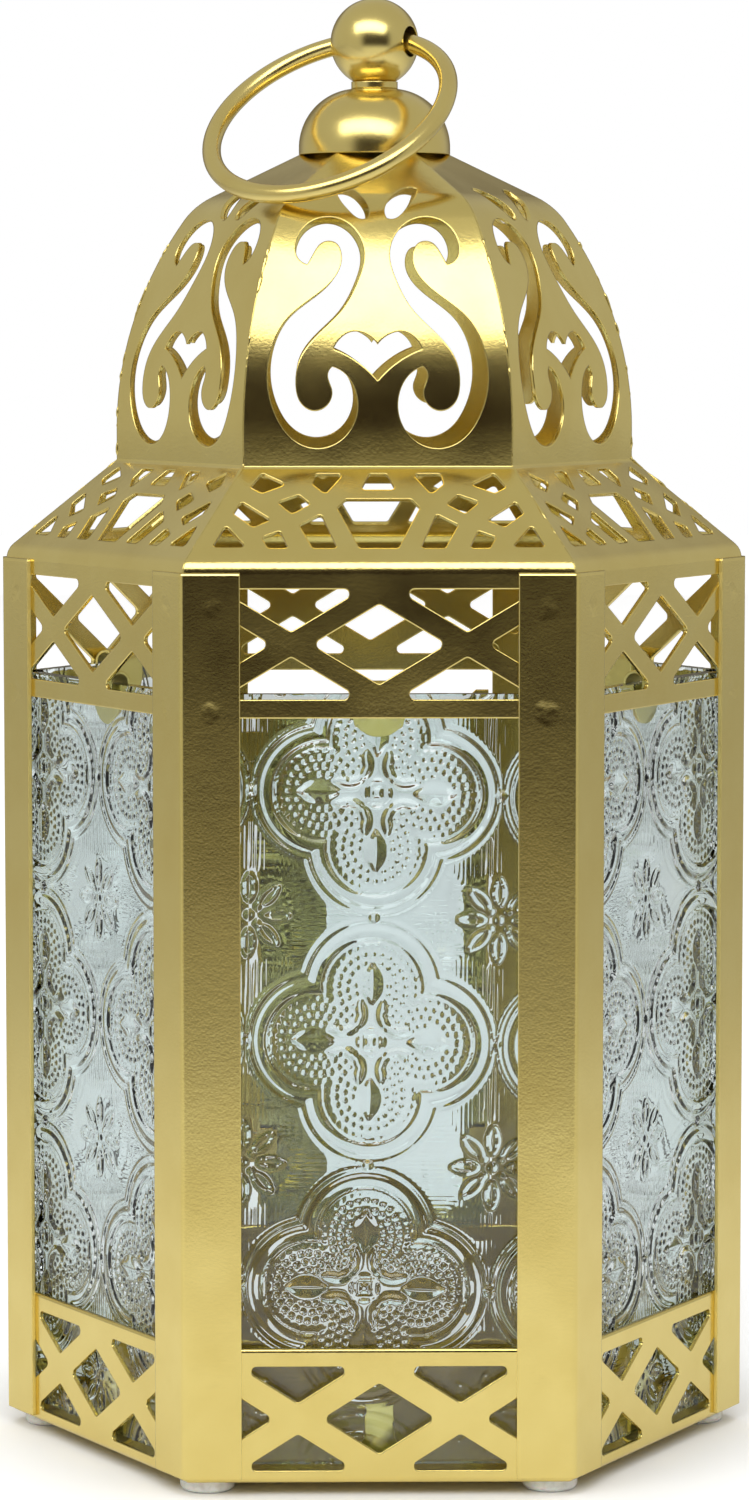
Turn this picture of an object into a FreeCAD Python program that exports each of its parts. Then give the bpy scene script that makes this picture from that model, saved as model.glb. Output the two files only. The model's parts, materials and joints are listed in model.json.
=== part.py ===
"""Six-sided candle lantern of pierced gold sheet metal with pressed glass panes.

Origin on the ground under the middle of the lantern, +Z up, front face towards -Y, millimetres.
"""
import FreeCAD, Part
import Sketcher
import math
import os

Vector = FreeCAD.Vector
Rotation = FreeCAD.Rotation
Placement = FreeCAD.Placement

# Driving dimensions in millimetres and degrees, with what each one measures
SIZES = {
    "hex_side": (55.0, "side of the hexagon, over the outside of the posts"),
    "sheet": (0.6, "sheet thickness of roof, base and posts"),
    "foot_height": (1.8, "height of a bumper foot"),
    "foot_radius": (3.9, "radius of a bumper foot"),
    "foot_inset": (6.6, "distance of a foot's middle inside the lantern's corner"),
    "base_lip": (0.7, "how far the base hangs below the posts"),
    "base_wall": (19.2, "height of the base tray over its bottom"),
    "base_fold": (0.9, "outside radius of the fold round the base"),
    "post_length": (127.3, "length of a corner post"),
    "post_flange": (8.2, "width of each flange of a post"),
    "post_bend": (1.0, "outside bend radius of a post"),
    "window_height": (88.6, "height of the window between base and roof"),
    "lattice_height": (20.0, "straight height of the upper lattice band"),
    "bar_height": (2.6, "height of the bar under the upper lattice"),
    "band_margin": (2.1, "plain margin above the upper lattice"),
    "upper_spacing": (12.2, "distance of the upper lattice's crossings from the face's middle"),
    "upper_strip": (3.0, "width of the upper lattice's strips"),
    "upper_slant": (31.0, "slope of the upper lattice's strips"),
    "base_bar_height": (2.5, "height of the bar over the base lattice"),
    "base_margin": (1.85, "plain margin under the base lattice"),
    "base_spacing": (11.4, "distance of the base lattice's crossings from the face's middle"),
    "base_strip": (3.7, "width of the base lattice's strips"),
    "base_slant": (32.5, "slope of the base lattice's strips"),
    "lattice_reach": (23.5, "reach of the lattice openings under the posts"),
    "cut_corner": (0.7, "corner radius of the lattice openings"),
    "tracery_corner": (0.5, "corner radius of the eave's openings"),
    "eave_bend": (3.0, "outside radius of the fold between lattice and eave"),
    "eave_slope": (43.0, "slope of the eave from level"),
    "dome_apothem": (32.9, "distance of a petal's foot from the middle"),
    "dome_wall": (4.5, "upright part of a petal above the eave"),
    "petal_radius": (58.0, "radius of a petal's long curve"),
    "petal_sweep": (31.7, "angle of a petal's long curve"),
    "shoulder_radius": (10.0, "radius of the bend into the crown"),
    "crown_slope": (29.0, "slope of the crown from level"),
    "crown_flat": (9.5, "reach of the level petal tips under the cap"),
    "crown_hole": (4.0, "distance of the petal tips from the middle"),
    "glass": (2.5, "thickness of the panes"),
    "pane_width": (46.0, "width of a fixed pane"),
    "pane_rise": (0.65, "pane's top edge over the window bar"),
    "clip_sheet": (0.5, "sheet thickness of the clips"),
    "clip_width": (8.0, "width of a clip"),
    "tongue_drop": (2.8, "reach of a top clip's tongue below the window bar"),
    "bottom_clip_height": (10.0, "height of a bottom clip's rear leg"),
    "clip_play": (0.1, "play between pane edge and clip bend"),
    "cap_radius": (11.1, "radius of the crown cap"),
    "cap_rim": (1.0, "upright rim of the crown cap"),
    "cap_shoulder": (8.6, "radius of the cap's dome"),
    "collar_radius": (3.4, "radius of the collar under the ball"),
    "collar_height": (1.0, "height of the collar"),
    "ball_radius": (6.44, "radius of the ball"),
    "ball_flat": (3.0, "radius of the flat under the ball"),
    "ball_turn": (-30.0, "direction of the ball's cross hole in plan"),
    "ring_radius": (18.0, "radius of the carrying ring at its wire's middle"),
    "wire_radius": (1.35, "radius of the ring's wire"),
    "ring_play": (0.3, "play of the ring's wire in the hole and over the roof"),
    "screw_radius": (1.5, "radius of the crown screw"),
    "screw_head": (2.8, "radius of the crown screw's head"),
    "screw_head_height": (1.8, "height of the crown screw's head"),
    "screw_play": (0.1, "play of the crown screw in the pieces that it clamps"),
    "screw_grip": (2.6, "depth of the crown screw in the ball"),
    "washer_radius": (8.0, "radius of the washer under the petal tips"),
    "washer_height": (1.0, "thickness of that washer"),
    "door_gap": (0.1, "gap between the door frame and the base behind it"),
    "door_side_gap": (0.6, "gap between the door's free edge and the post"),
    "door_lap": (2.0, "lap of the door frame over the base's upper bar"),
    "door_drop": (5.2, "gap above the door's pane"),
    "door_stile": (11.0, "width of the door frame on the hinge side"),
    "door_edge": (4.0, "width of the door frame on the free side"),
    "door_rail": (5.0, "height of the door frame's lower rail"),
    "pane_corner": (2.0, "corners cut off the door's pane"),
    "door_tab": (3.0, "reach of the tabs that hold the door's pane"),
    "tab_height": (6.0, "height of those tabs"),
    "pane_play": (0.4, "play round the door's pane"),
    "hinge_height": (14.0, "height of a hinge"),
    "hinge_inset": (10.0, "distance of a hinge from the window's end"),
    "hinge_leaf": (5.6, "width of a hinge leaf"),
    "hinge_reach": (0.7, "hinge axis beyond the post's edge, and door edge beyond the axis"),
    "pin_radius": (0.6, "radius of a hinge pin"),
    "pin_play": (0.05, "running play of the hinge pins and the latch stud"),
    "knuckle_gap": (0.3, "gap between hinge knuckles"),
    "latch_length": (7.6, "reach of the latch from its stud"),
    "latch_width": (4.0, "width of the latch"),
    "latch_gap": (0.1, "gap between latch and post"),
    "stud_radius": (1.0, "radius of the latch stud"),
    "stud_head": (1.8, "radius of the latch stud's head"),
    "stud_head_height": (0.7, "thickness of that head"),
}

FACES = ("front", "front_right", "rear_right", "rear", "rear_left", "front_left")
CORNERS = ("right", "rear_right", "rear_left", "left", "front_left", "front_right")
DOOR_FACE = "rear"
SIXTH = 60.0
COS30 = math.cos(math.radians(30.0))
TAN30 = math.tan(math.radians(30.0))


class Size(float):
    """A number that remembers the spreadsheet formula it comes from."""

    def __new__(cls, value, formula=None):
        size = super().__new__(cls, value)
        size.formula = formula if formula else repr(float(value))
        return size

    @staticmethod
    def joined(left, sign, right, value):
        """Return the Size of two numbers joined by an operator."""
        return Size(value, "({} {} {})".format(formula_of(left), sign, formula_of(right)))

    def __add__(self, other):
        return Size.joined(self, "+", other, float(self) + float(other))

    def __radd__(self, other):
        return Size.joined(other, "+", self, float(other) + float(self))

    def __sub__(self, other):
        return Size.joined(self, "-", other, float(self) - float(other))

    def __rsub__(self, other):
        return Size.joined(other, "-", self, float(other) - float(self))

    def __mul__(self, other):
        return Size.joined(self, "*", other, float(self) * float(other))

    def __rmul__(self, other):
        return Size.joined(other, "*", self, float(other) * float(self))

    def __truediv__(self, other):
        return Size.joined(self, "/", other, float(self) / float(other))

    def __neg__(self):
        return Size.joined(0.0, "-", self, -float(self))


def formula_of(number):
    """Return the spreadsheet formula of a number."""
    return number.formula if isinstance(number, Size) else repr(float(number))


def size_function(name, value, *arguments):
    """Return a Size worked out by a spreadsheet function."""
    return Size(value, "{}({})".format(name, "; ".join(formula_of(item) for item in arguments)))


def sin_of(angle):
    """Return the sine of an angle in degrees."""
    return size_function("sin", math.sin(math.radians(angle)), angle)


def cos_of(angle):
    """Return the cosine of an angle in degrees."""
    return size_function("cos", math.cos(math.radians(angle)), angle)


def tan_of(angle):
    """Return the tangent of an angle in degrees."""
    return size_function("tan", math.tan(math.radians(angle)), angle)


def root_of(number):
    """Return a square root."""
    return size_function("sqrt", math.sqrt(number), number)


doc = FreeCAD.newDocument("CandleLantern")
sheet_object = doc.addObject("Spreadsheet::Sheet", "Sizes")


class Dimensions:
    """The driving dimensions as named Sizes, read back from the spreadsheet's cells."""

    def __init__(self):
        for row, (alias, (value, meaning)) in enumerate(SIZES.items(), start=1):
            sheet_object.set("A{}".format(row), meaning)
            sheet_object.set("B{}".format(row), repr(value))
            sheet_object.setAlias("B{}".format(row), alias)
            setattr(self, alias, Size(value, "Sizes." + alias))


dim = Dimensions()
doc.recompute()


# Sketching

def plane_of(body, role):
    """Return the origin plane or axis of a body by its role."""
    return [item for item in body.Origin.OriginFeatures if item.Role == role][0]


def new_body(label, turn=0.0, base=Vector(0, 0, 0)):
    """Return a new body, moved to base and turned about Z by an angle in degrees."""
    body = doc.addObject("PartDesign::Body", label)
    body.Label = label
    body.Placement = Placement(base, Rotation(Vector(0, 0, 1), turn))
    return body


def new_sketch(body, role, name, lift=0.0):
    """Return a sketch on one of the body's origin planes, lifted along the plane's normal."""
    sketch = body.newObject("Sketcher::SketchObject", body.Label + "_" + name)
    sketch.AttachmentSupport = [(plane_of(body, role), "")]
    sketch.MapMode = "FlatFace"
    sketch.AttachmentOffset = Placement(Vector(0, 0, lift), Rotation())
    if isinstance(lift, Size):
        sketch.setExpression("AttachmentOffset.Base.z", lift.formula)
    return sketch


def arc_between(start, end, radius):
    """Return the short arc from start to end; a positive radius turns left."""
    chord = end - start
    left = Vector(-chord.y, chord.x, 0).normalize()
    rise = math.sqrt(max(radius * radius - chord.Length * chord.Length / 4, 0.0))
    centre = (start + end) * 0.5 + left * math.copysign(rise, radius)
    first, last = (start, end) if radius > 0 else (end, start)
    begin = math.atan2(first.y - centre.y, first.x - centre.x)
    finish = math.atan2(last.y - centre.y, last.x - centre.x)
    if finish < begin:
        finish += 2 * math.pi
    return Part.ArcOfCircle(Part.Circle(centre, Vector(0, 0, 1), abs(radius)), begin, finish)


def bind(sketch, dimensions):
    """Add dimensions (kind, places, value) to a sketch and tie them to the spreadsheet."""
    first = sketch.ConstraintCount
    sketch.addConstraint([Sketcher.Constraint(kind, *places, float(value)) for kind, places, value in dimensions])
    for number, (kind, places, value) in enumerate(dimensions, start=first):
        if isinstance(value, Size):
            sketch.setExpression("Constraints[{}]".format(number), value.formula)


def draw(sketch, path, bound=True):
    """Draw a closed outline through corners (x, y), or (x, y, radius) where an arc arrives at the corner."""
    shapes = []
    ends = []
    first = sketch.GeometryCount
    for number, (before, corner) in enumerate(zip(path[-1:] + path[:-1], path), start=first):
        start = Vector(before[0], before[1], 0)
        end = Vector(corner[0], corner[1], 0)
        radius = corner[2] if len(corner) == 3 else None
        shapes.append(Part.LineSegment(start, end) if radius is None else arc_between(start, end, radius))
        backwards = radius is not None and radius < 0
        ends.append((number, 2, 1) if backwards else (number, 1, 2))
    sketch.addGeometry(shapes, False)
    sketch.addConstraint([Sketcher.Constraint("Coincident", here[0], here[2], after[0], after[1])
                          for here, after in zip(ends, ends[1:] + ends[:1])])
    if not bound:
        return
    dimensions = []
    for corner, (number, start, end) in zip(path, ends):
        dimensions.append(("DistanceX", (-1, 1, number, end), corner[0]))
        dimensions.append(("DistanceY", (-1, 1, number, end), corner[1]))
        if len(corner) == 3:
            dimensions.append(("Radius", (number,), corner[2] if corner[2] > 0 else -corner[2]))
    bind(sketch, dimensions)


def draw_circle(sketch, x, y, radius):
    """Draw a circle."""
    index = sketch.addGeometry(Part.Circle(Vector(x, y, 0), Vector(0, 0, 1), float(radius)), False)
    bind(sketch, [("DistanceX", (-1, 1, index, 3), x), ("DistanceY", (-1, 1, index, 3), y),
                  ("Radius", (index,), radius)])


def draw_curves(sketch, stretches):
    """Draw a closed outline of smooth curves, each through its own points."""
    curves = []
    first = sketch.GeometryCount
    for points in stretches:
        curve = Part.BSplineCurve()
        curve.interpolate([Vector(x, y, 0) for x, y in points])
        curves.append(curve)
    sketch.addGeometry(curves, False)
    indices = list(range(first, first + len(curves)))
    sketch.addConstraint([Sketcher.Constraint("Coincident", here, 2, after, 1)
                          for here, after in zip(indices, indices[1:] + indices[:1])])


def rounded(corners, radius):
    """Return a polygon's outline, counted anticlockwise, with its corners rounded."""
    path = []
    for before, corner, after in zip(corners[-1:] + corners[:-1], corners, corners[1:] + corners[:1]):
        here = Vector(corner[0], corner[1], 0)
        back = Vector(before[0], before[1], 0) - here
        ahead = Vector(after[0], after[1], 0) - here
        half = back.getAngle(ahead) / 2
        reach = min(radius / math.tan(half), 0.45 * back.Length, 0.45 * ahead.Length)
        start = here + back.normalize() * reach
        end = here + ahead.normalize() * reach
        path.append((start.x, start.y))
        path.append((end.x, end.y, reach * math.tan(half)))
    return path


def mirrored(points):
    """Return points mirrored in the face's middle, in reverse order."""
    return [(-point[0], point[1]) for point in reversed(points)]


# Features

def pad(body, sketch, length, symmetric=False):
    """Raise a sketch along its normal, or by half to each side."""
    feature = body.newObject("PartDesign::Pad", sketch.Name + "_pad")
    feature.Profile = sketch
    feature.SideType = "Symmetric" if symmetric else "One side"
    feature.Length = float(length)
    feature.setExpression("Length", formula_of(length))
    sketch.Visibility = False
    return feature


def pocket(body, sketch, length=None, along_normal=False, symmetric=False):
    """Cut a sketch out of its body, right through where no length is given."""
    feature = body.newObject("PartDesign::Pocket", sketch.Name + "_pocket")
    feature.Profile = sketch
    feature.SideType = "Symmetric" if symmetric else "One side"
    feature.Reversed = along_normal
    if length is None:
        feature.Type = "ThroughAll"
    else:
        feature.Length = float(length)
        feature.setExpression("Length", formula_of(length))
    sketch.Visibility = False
    return feature


def revolve(body, path):
    """Turn a closed outline of radii and heights about the body's Z axis."""
    sketch = new_sketch(body, "XZ_Plane", "section")
    draw(sketch, path)
    feature = body.newObject("PartDesign::Revolution", body.Label + "_revolution")
    feature.Profile = sketch
    feature.ReferenceAxis = (sketch, ["V_Axis"])
    feature.Angle = 360.0
    return feature


# Heights and distances that several pieces share

tray_bottom = dim.foot_height
post_bottom = tray_bottom + dim.base_lip
floor_top = tray_bottom + dim.sheet
sill = tray_bottom + dim.base_wall
window_top = sill + dim.window_height
eave_start = window_top + dim.lattice_height
post_face = dim.hex_side * COS30
sheet_face = post_face - dim.sheet
sheet_back = sheet_face - dim.sheet
glass_face = sheet_back - dim.clip_sheet
glass_back = glass_face - dim.glass
window_half = dim.hex_side / 2 - dim.post_flange

eave_turn = 90.0 - dim.eave_slope
eave_foot = sheet_face - dim.eave_bend * (1.0 - cos_of(eave_turn))
eave_foot_height = eave_start + dim.eave_bend * sin_of(eave_turn)
dome_foot = eave_foot_height + (eave_foot - dim.dome_apothem) * tan_of(dim.eave_slope)
eave_length = (eave_foot - dim.dome_apothem) / cos_of(dim.eave_slope)
petal_spring = dome_foot + dim.dome_wall
petal_end = dim.dome_apothem - dim.petal_radius * (1.0 - cos_of(dim.petal_sweep))
petal_end_height = petal_spring + dim.petal_radius * sin_of(dim.petal_sweep)
crown_turn = 90.0 - dim.crown_slope
shoulder_centre = petal_end - dim.shoulder_radius * cos_of(dim.petal_sweep)
shoulder_centre_height = petal_end_height - dim.shoulder_radius * sin_of(dim.petal_sweep)
shoulder_end = shoulder_centre + dim.shoulder_radius * cos_of(crown_turn)
shoulder_end_height = shoulder_centre_height + dim.shoulder_radius * sin_of(crown_turn)
crown_top = shoulder_end_height + (shoulder_end - dim.crown_flat) * tan_of(dim.crown_slope)

cap_top = crown_top + dim.cap_rim + dim.cap_shoulder
collar_top = cap_top + dim.collar_height
ball_height = collar_top + root_of(dim.ball_radius * dim.ball_radius - dim.ball_flat * dim.ball_flat)
door_sheet = dim.sheet - dim.door_gap
hinge_barrel = dim.pin_radius + dim.pin_play + door_sheet
hinge_x = dim.hinge_reach - window_half
hinge_y = post_face + hinge_barrel


def lattice_openings(spacing, strip, slant, low, high, reach, corner):
    """Return the rounded openings between two crossings of slanted strips in a band from low to high."""
    middle = (low + high) / 2
    slope = math.tan(math.radians(slant))
    over = strip / 2 / math.cos(math.radians(slant))
    beside = strip / 2 / math.sin(math.radians(slant))
    rise = high - middle - over
    crown = spacing * slope - over
    flank = (reach - spacing - beside) * slope
    diamond = [(spacing - beside, middle), (0, middle + crown), (beside - spacing, middle), (0, middle - crown)]
    right = [
        [(spacing, middle + over), (spacing + rise / slope, high), (spacing - rise / slope, high)],
        [(spacing, middle - over), (spacing - rise / slope, low), (spacing + rise / slope, low)],
        [(spacing + beside, middle), (reach, middle - flank), (reach, middle + flank)],
    ]
    outlines = [diamond] + right + [mirrored(outline) for outline in right]
    return [rounded(outline, corner) for outline in outlines]


# Roof segments: petal, eave and lattice band of one bent sheet

# Tracery of the eave, drawn on an eave of this length: places beside the middle and below the dome's foot
TRACERY_EAVE = 18.1
TRACERY_FACE = 55.0
TRACERY_MIDDLE = [
    [(-1.25, 1.5), (-2.5, 4.7), (2.5, 4.7), (1.25, 1.5)],
    [(-4.6, 6.5), (-5.8, 8.2), (-2.7, 16.2), (2.7, 16.2), (5.8, 8.2), (4.6, 6.5)],
]
TRACERY_SIDE = [
    [(4.8, 1.5), (7.4, 5.6), (9.2, 3.6), (8.8, 1.5)],
    [(12.8, 3.6), (16.3, 5.4), (18.0, 4.2), (16.3, 1.3)],
    [(9.4, 7.5), (12.1, 9.5), (14.2, 7.1), (11.1, 5.6)],
    [(14.9, 10.6), (17.5, 12.1), (20.3, 9.4), (19.2, 6.9)],
    [(5.7, 16.2), (9.2, 16.2), (11.1, 11.6), (8.0, 9.4)],
    [(12.5, 16.2), (15.4, 16.2), (16.3, 14.0), (13.7, 12.7)],
    [(18.3, 16.0), (23.2, 16.0), (21.3, 11.5)],
]

# Scrollwork of a petal, drawn on a petal of this half width and height: places beside the middle, above the foot
SCROLL_HALF_WIDTH = 19.0
SCROLL_HEIGHT = 44.6
SCROLL = [
    [(9.9, 28.3), (11.4, 29.6), (11.2, 32.2), (9.2, 34.4), (6.0, 34.9), (2.9, 32.9), (1.8, 30.0), (2.6, 26.3),
     (5.0, 21.9), (8.6, 18.3), (11.0, 15.0), (11.6, 11.4), (10.7, 8.6), (9.0, 7.7), (7.2, 8.4), (6.4, 10.6),
     (7.0, 12.6), (6.4, 13.9)],
    [(6.4, 13.9), (4.3, 12.6), (3.0, 9.9), (3.1, 6.8), (5.0, 3.8), (8.4, 2.5), (11.6, 3.5), (14.4, 7.2),
     (15.5, 11.8), (14.9, 16.5), (12.8, 20.5), (9.1, 23.6), (6.2, 26.2), (5.0, 29.2), (5.9, 31.4), (7.6, 31.5),
     (8.9, 30.1), (9.9, 28.3)],
]
BIRD = [
    [(0.0, 17.0), (1.6, 18.4), (3.6, 18.8), (5.3, 17.8), (6.2, 16.4)],
    [(6.2, 16.4), (4.2, 15.5), (2.0, 14.0), (0.0, 12.0)],
    [(0.0, 12.0), (-2.0, 14.0), (-4.2, 15.5), (-6.2, 16.4)],
    [(-6.2, 16.4), (-5.3, 17.8), (-3.6, 18.8), (-1.6, 18.4), (0.0, 17.0)],
]
LEAF = [
    [(5.8, 39.1), (3.5, 39.0), (1.9, 37.7), (1.1, 36.0), (1.4, 34.9)],
    [(1.4, 34.9), (2.4, 34.8), (4.0, 36.0), (5.2, 37.5), (5.8, 39.1)],
]


def roof_profile():
    """Return the section of a roof segment as distances from the middle, outside first."""
    thick = dim.sheet
    petal_inside = dim.dome_apothem - thick
    fold_inside = dome_foot + thick * tan_of(dim.eave_slope) - thick / cos_of(dim.eave_slope)
    crown_inside = dim.crown_flat - thick * (1.0 / cos_of(dim.crown_slope) - 1.0) / tan_of(dim.crown_slope)
    return [
        (sheet_face, window_top),
        (sheet_face, eave_start),
        (eave_foot, eave_foot_height, -dim.eave_bend),
        (dim.dome_apothem, dome_foot),
        (dim.dome_apothem, petal_spring),
        (petal_end, petal_end_height, -dim.petal_radius),
        (shoulder_end, shoulder_end_height, -dim.shoulder_radius),
        (dim.crown_flat, crown_top),
        (dim.crown_hole, crown_top),
        (dim.crown_hole, crown_top - thick),
        (crown_inside, crown_top - thick),
        (shoulder_end - thick * cos_of(crown_turn), shoulder_end_height - thick * sin_of(crown_turn)),
        (petal_end - thick * cos_of(dim.petal_sweep), petal_end_height - thick * sin_of(dim.petal_sweep),
         dim.shoulder_radius - thick),
        (petal_inside, petal_spring, dim.petal_radius - thick),
        (petal_inside, fold_inside),
        (eave_foot - thick * cos_of(eave_turn), eave_foot_height - thick * sin_of(eave_turn)),
        (sheet_back, eave_start, dim.eave_bend - thick),
        (sheet_back, window_top),
    ]


def facing_front(path):
    """Return a section drawn towards -Y."""
    return [(-corner[0],) + tuple(corner[1:]) for corner in path]


def mitre_sides(body):
    """Trim a body to the sixth of the lantern round its front face."""
    sketch = new_sketch(body, "XY_Plane", "mitre")
    near = dim.crown_hole / 2
    far = dim.hex_side * 2
    for side in (-1.0, 1.0):
        draw(sketch, [(near * TAN30 * side, -near), (far * TAN30 * side, -far),
                      (far * 2 * side, -far), (far * 2 * side, -near)])
    pocket(body, sketch, along_normal=True)


def roof_segment(label, turn):
    """Build one roof segment."""
    body = new_body(label, turn)
    profile = new_sketch(body, "YZ_Plane", "profile")
    draw(profile, facing_front(roof_profile()))
    pad(body, profile, dim.hex_side * 2, symmetric=True)
    mitre_sides(body)

    lattice = new_sketch(body, "XZ_Plane", "lattice")
    for outline in lattice_openings(dim.upper_spacing, dim.upper_strip, dim.upper_slant,
                                    window_top + dim.bar_height, eave_start - dim.band_margin,
                                    dim.lattice_reach, dim.cut_corner):
        draw(lattice, outline, bound=False)
    pocket(body, lattice, along_normal=True)

    tracery = new_sketch(body, "XZ_Plane", "tracery")
    tilt = Rotation(Vector(1, 0, 0), -float(eave_turn))
    tracery.AttachmentOffset = Placement(Vector(0, dome_foot, dim.dome_apothem), tilt)
    tracery.setExpression("AttachmentOffset.Base.y", dome_foot.formula)
    tracery.setExpression("AttachmentOffset.Base.z", formula_of(dim.dome_apothem))
    across = dim.hex_side / TRACERY_FACE
    down = eave_length / TRACERY_EAVE
    for corners in TRACERY_MIDDLE + TRACERY_SIDE + [mirrored(corners) for corners in TRACERY_SIDE]:
        scaled = [(x * across, -y * down) for x, y in corners]
        draw(tracery, rounded(scaled, dim.tracery_corner), bound=False)
    pocket(body, tracery, dim.sheet * 3)

    scrolls = new_sketch(body, "XZ_Plane", "scrolls")
    wide = dim.dome_apothem * TAN30 / SCROLL_HALF_WIDTH
    tall = (crown_top - dome_foot) / SCROLL_HEIGHT
    for stretches in (SCROLL, [mirrored(points) for points in reversed(SCROLL)], BIRD,
                      LEAF, [mirrored(points) for points in reversed(LEAF)]):
        draw_curves(scrolls, [[(x * wide, dome_foot + y * tall) for x, y in points] for points in stretches])
    pocket(body, scrolls, along_normal=True)
    return body


# Base tray and corner posts

def hexagon(apothem):
    """Return a hexagon with its flats in front and behind, anticlockwise."""
    reach = apothem / COS30
    return [(reach * math.cos(math.radians(SIXTH * turn)), reach * math.sin(math.radians(SIXTH * turn)))
            for turn in range(len(FACES))]


def base_tray():
    """Build the base: floor and lattice walls of one folded sheet."""
    body = new_body("base_tray")
    outside = new_sketch(body, "XY_Plane", "outside", tray_bottom)
    draw(outside, hexagon(sheet_face))
    block = pad(body, outside, dim.base_wall)
    doc.recompute()
    fold = body.newObject("PartDesign::Fillet", "base_tray_fold")
    edges = ["Edge{}".format(number) for number, edge in enumerate(block.Shape.Edges, start=1)
             if edge.BoundBox.ZMax < tray_bottom + dim.sheet / 2]
    fold.Base = (block, edges)
    fold.Radius = float(dim.base_fold)
    fold.setExpression("Radius", dim.base_fold.formula)
    inside = new_sketch(body, "XY_Plane", "inside", floor_top)
    draw(inside, hexagon(sheet_back))
    pocket(body, inside, along_normal=True)
    lattice = new_sketch(body, "XZ_Plane", "lattice")
    for outline in lattice_openings(dim.base_spacing, dim.base_strip, dim.base_slant,
                                    tray_bottom + dim.base_margin, sill - dim.base_bar_height,
                                    dim.lattice_reach, dim.cut_corner):
        draw(lattice, outline, bound=False)
    opening = pocket(body, lattice, along_normal=True)
    round_all = body.newObject("PartDesign::PolarPattern", "base_tray_walls")
    round_all.Originals = [opening]
    round_all.Axis = (plane_of(body, "Z_Axis"), [""])
    round_all.Angle = 360.0
    round_all.Occurrences = len(FACES)
    body.Tip = round_all
    return body


def corner_post(label, turn):
    """Build a corner post: a strip folded along the lantern's corner."""
    body = new_body(label, turn)
    section = new_sketch(body, "XY_Plane", "section", post_bottom)
    bend = dim.post_bend
    tangent = bend * TAN30
    flange_end = (dim.hex_side - dim.post_flange / 2, dim.post_flange * COS30)
    flange_back = (flange_end[0] - dim.sheet * COS30, flange_end[1] - dim.sheet / 2)
    draw(section, [
        (dim.hex_side - tangent / 2, -bend / 2),
        (dim.hex_side - tangent / 2, bend / 2, bend),
        flange_end,
        flange_back,
        (dim.hex_side - dim.sheet / COS30, 0.0),
        (flange_back[0], -flange_back[1]),
        (flange_end[0], -flange_end[1]),
    ])
    pad(body, section, dim.post_length)
    return body


# Glass and its clips

clip_bend = dim.glass / 2 + dim.clip_sheet
clip_inner = dim.glass / 2
bottom_clip_centre = floor_top + clip_bend
pane_bottom = bottom_clip_centre + dim.clip_play
pane_top = window_top + dim.bar_height + dim.pane_rise
top_clip_centre = pane_top + dim.clip_play


def plain_pane(label, length, height, place, turn=0.0):
    """Build a flat pane of glass with its lowest corner at place, turned about the lantern's middle."""
    pane = doc.addObject("Part::Box", label)
    pane.Label = label
    for name, value in (("Length", length), ("Width", dim.glass), ("Height", height)):
        setattr(pane, name, float(value))
        pane.setExpression(name, formula_of(value))
    pane.Placement = Placement(Vector(0, 0, 0), Rotation(Vector(0, 0, 1), turn)) * Placement(place, Rotation())
    return pane


def hairpin(front_end, rear_end, centre, away):
    """Return a clip's section: two legs joined by a half-round bend, away being +1 upwards, -1 downwards."""
    middle = glass_face - clip_inner
    crest = centre + clip_bend * away
    inner_crest = centre + clip_inner * away
    return [
        (-sheet_back, front_end),
        (-sheet_back, centre),
        (-middle, crest, clip_bend * -away),
        (clip_bend - middle, centre, clip_bend * -away),
        (clip_bend - middle, rear_end),
        (clip_inner - middle, rear_end),
        (clip_inner - middle, centre),
        (-middle, inner_crest, clip_inner * away),
        (-glass_face, centre, clip_inner * away),
        (-glass_face, front_end),
    ]


def top_clip(label, turn):
    """Build a clip over a pane's upper edge, with a round tongue behind the glass."""
    body = new_body(label, turn)
    profile = new_sketch(body, "YZ_Plane", "profile")
    tip = window_top - dim.tongue_drop
    draw(profile, hairpin(window_top + dim.clip_sheet, tip, top_clip_centre, 1.0))
    pad(body, profile, dim.clip_width, symmetric=True)
    half = dim.clip_width / 2
    outside = dim.clip_width
    trim = new_sketch(body, "XZ_Plane", "tongue")
    draw(trim, [(-outside, tip + half), (-half, tip + half), (0.0, tip, half), (half, tip + half, half),
                (outside, tip + half), (outside, tip - half), (-outside, tip - half)])
    pocket(body, trim, glass_face - clip_inner, along_normal=True)
    return body


def bottom_clip(label, turn):
    """Build a clip under a pane's lower edge, its rear leg narrowing upwards."""
    body = new_body(label, turn)
    profile = new_sketch(body, "YZ_Plane", "profile")
    top = floor_top + dim.bottom_clip_height
    draw(profile, hairpin(bottom_clip_centre + clip_bend, top, bottom_clip_centre, -1.0))
    pad(body, profile, dim.clip_width, symmetric=True)
    half = dim.clip_width / 2
    narrow = dim.clip_width / 4
    waist = top - dim.clip_width / 2
    outside = dim.clip_width
    trim = new_sketch(body, "XZ_Plane", "flare")
    for side in (-1.0, 1.0):
        draw(trim, [(half * side, waist - narrow), (narrow * side, waist, narrow * -side),
                    (narrow * side, top + narrow), (outside * side, top + narrow),
                    (outside * side, waist - narrow)])
    pocket(body, trim, glass_face - clip_inner, along_normal=True)
    return body


# Crown: washer, screw, cap, collar, ball and ring

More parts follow.
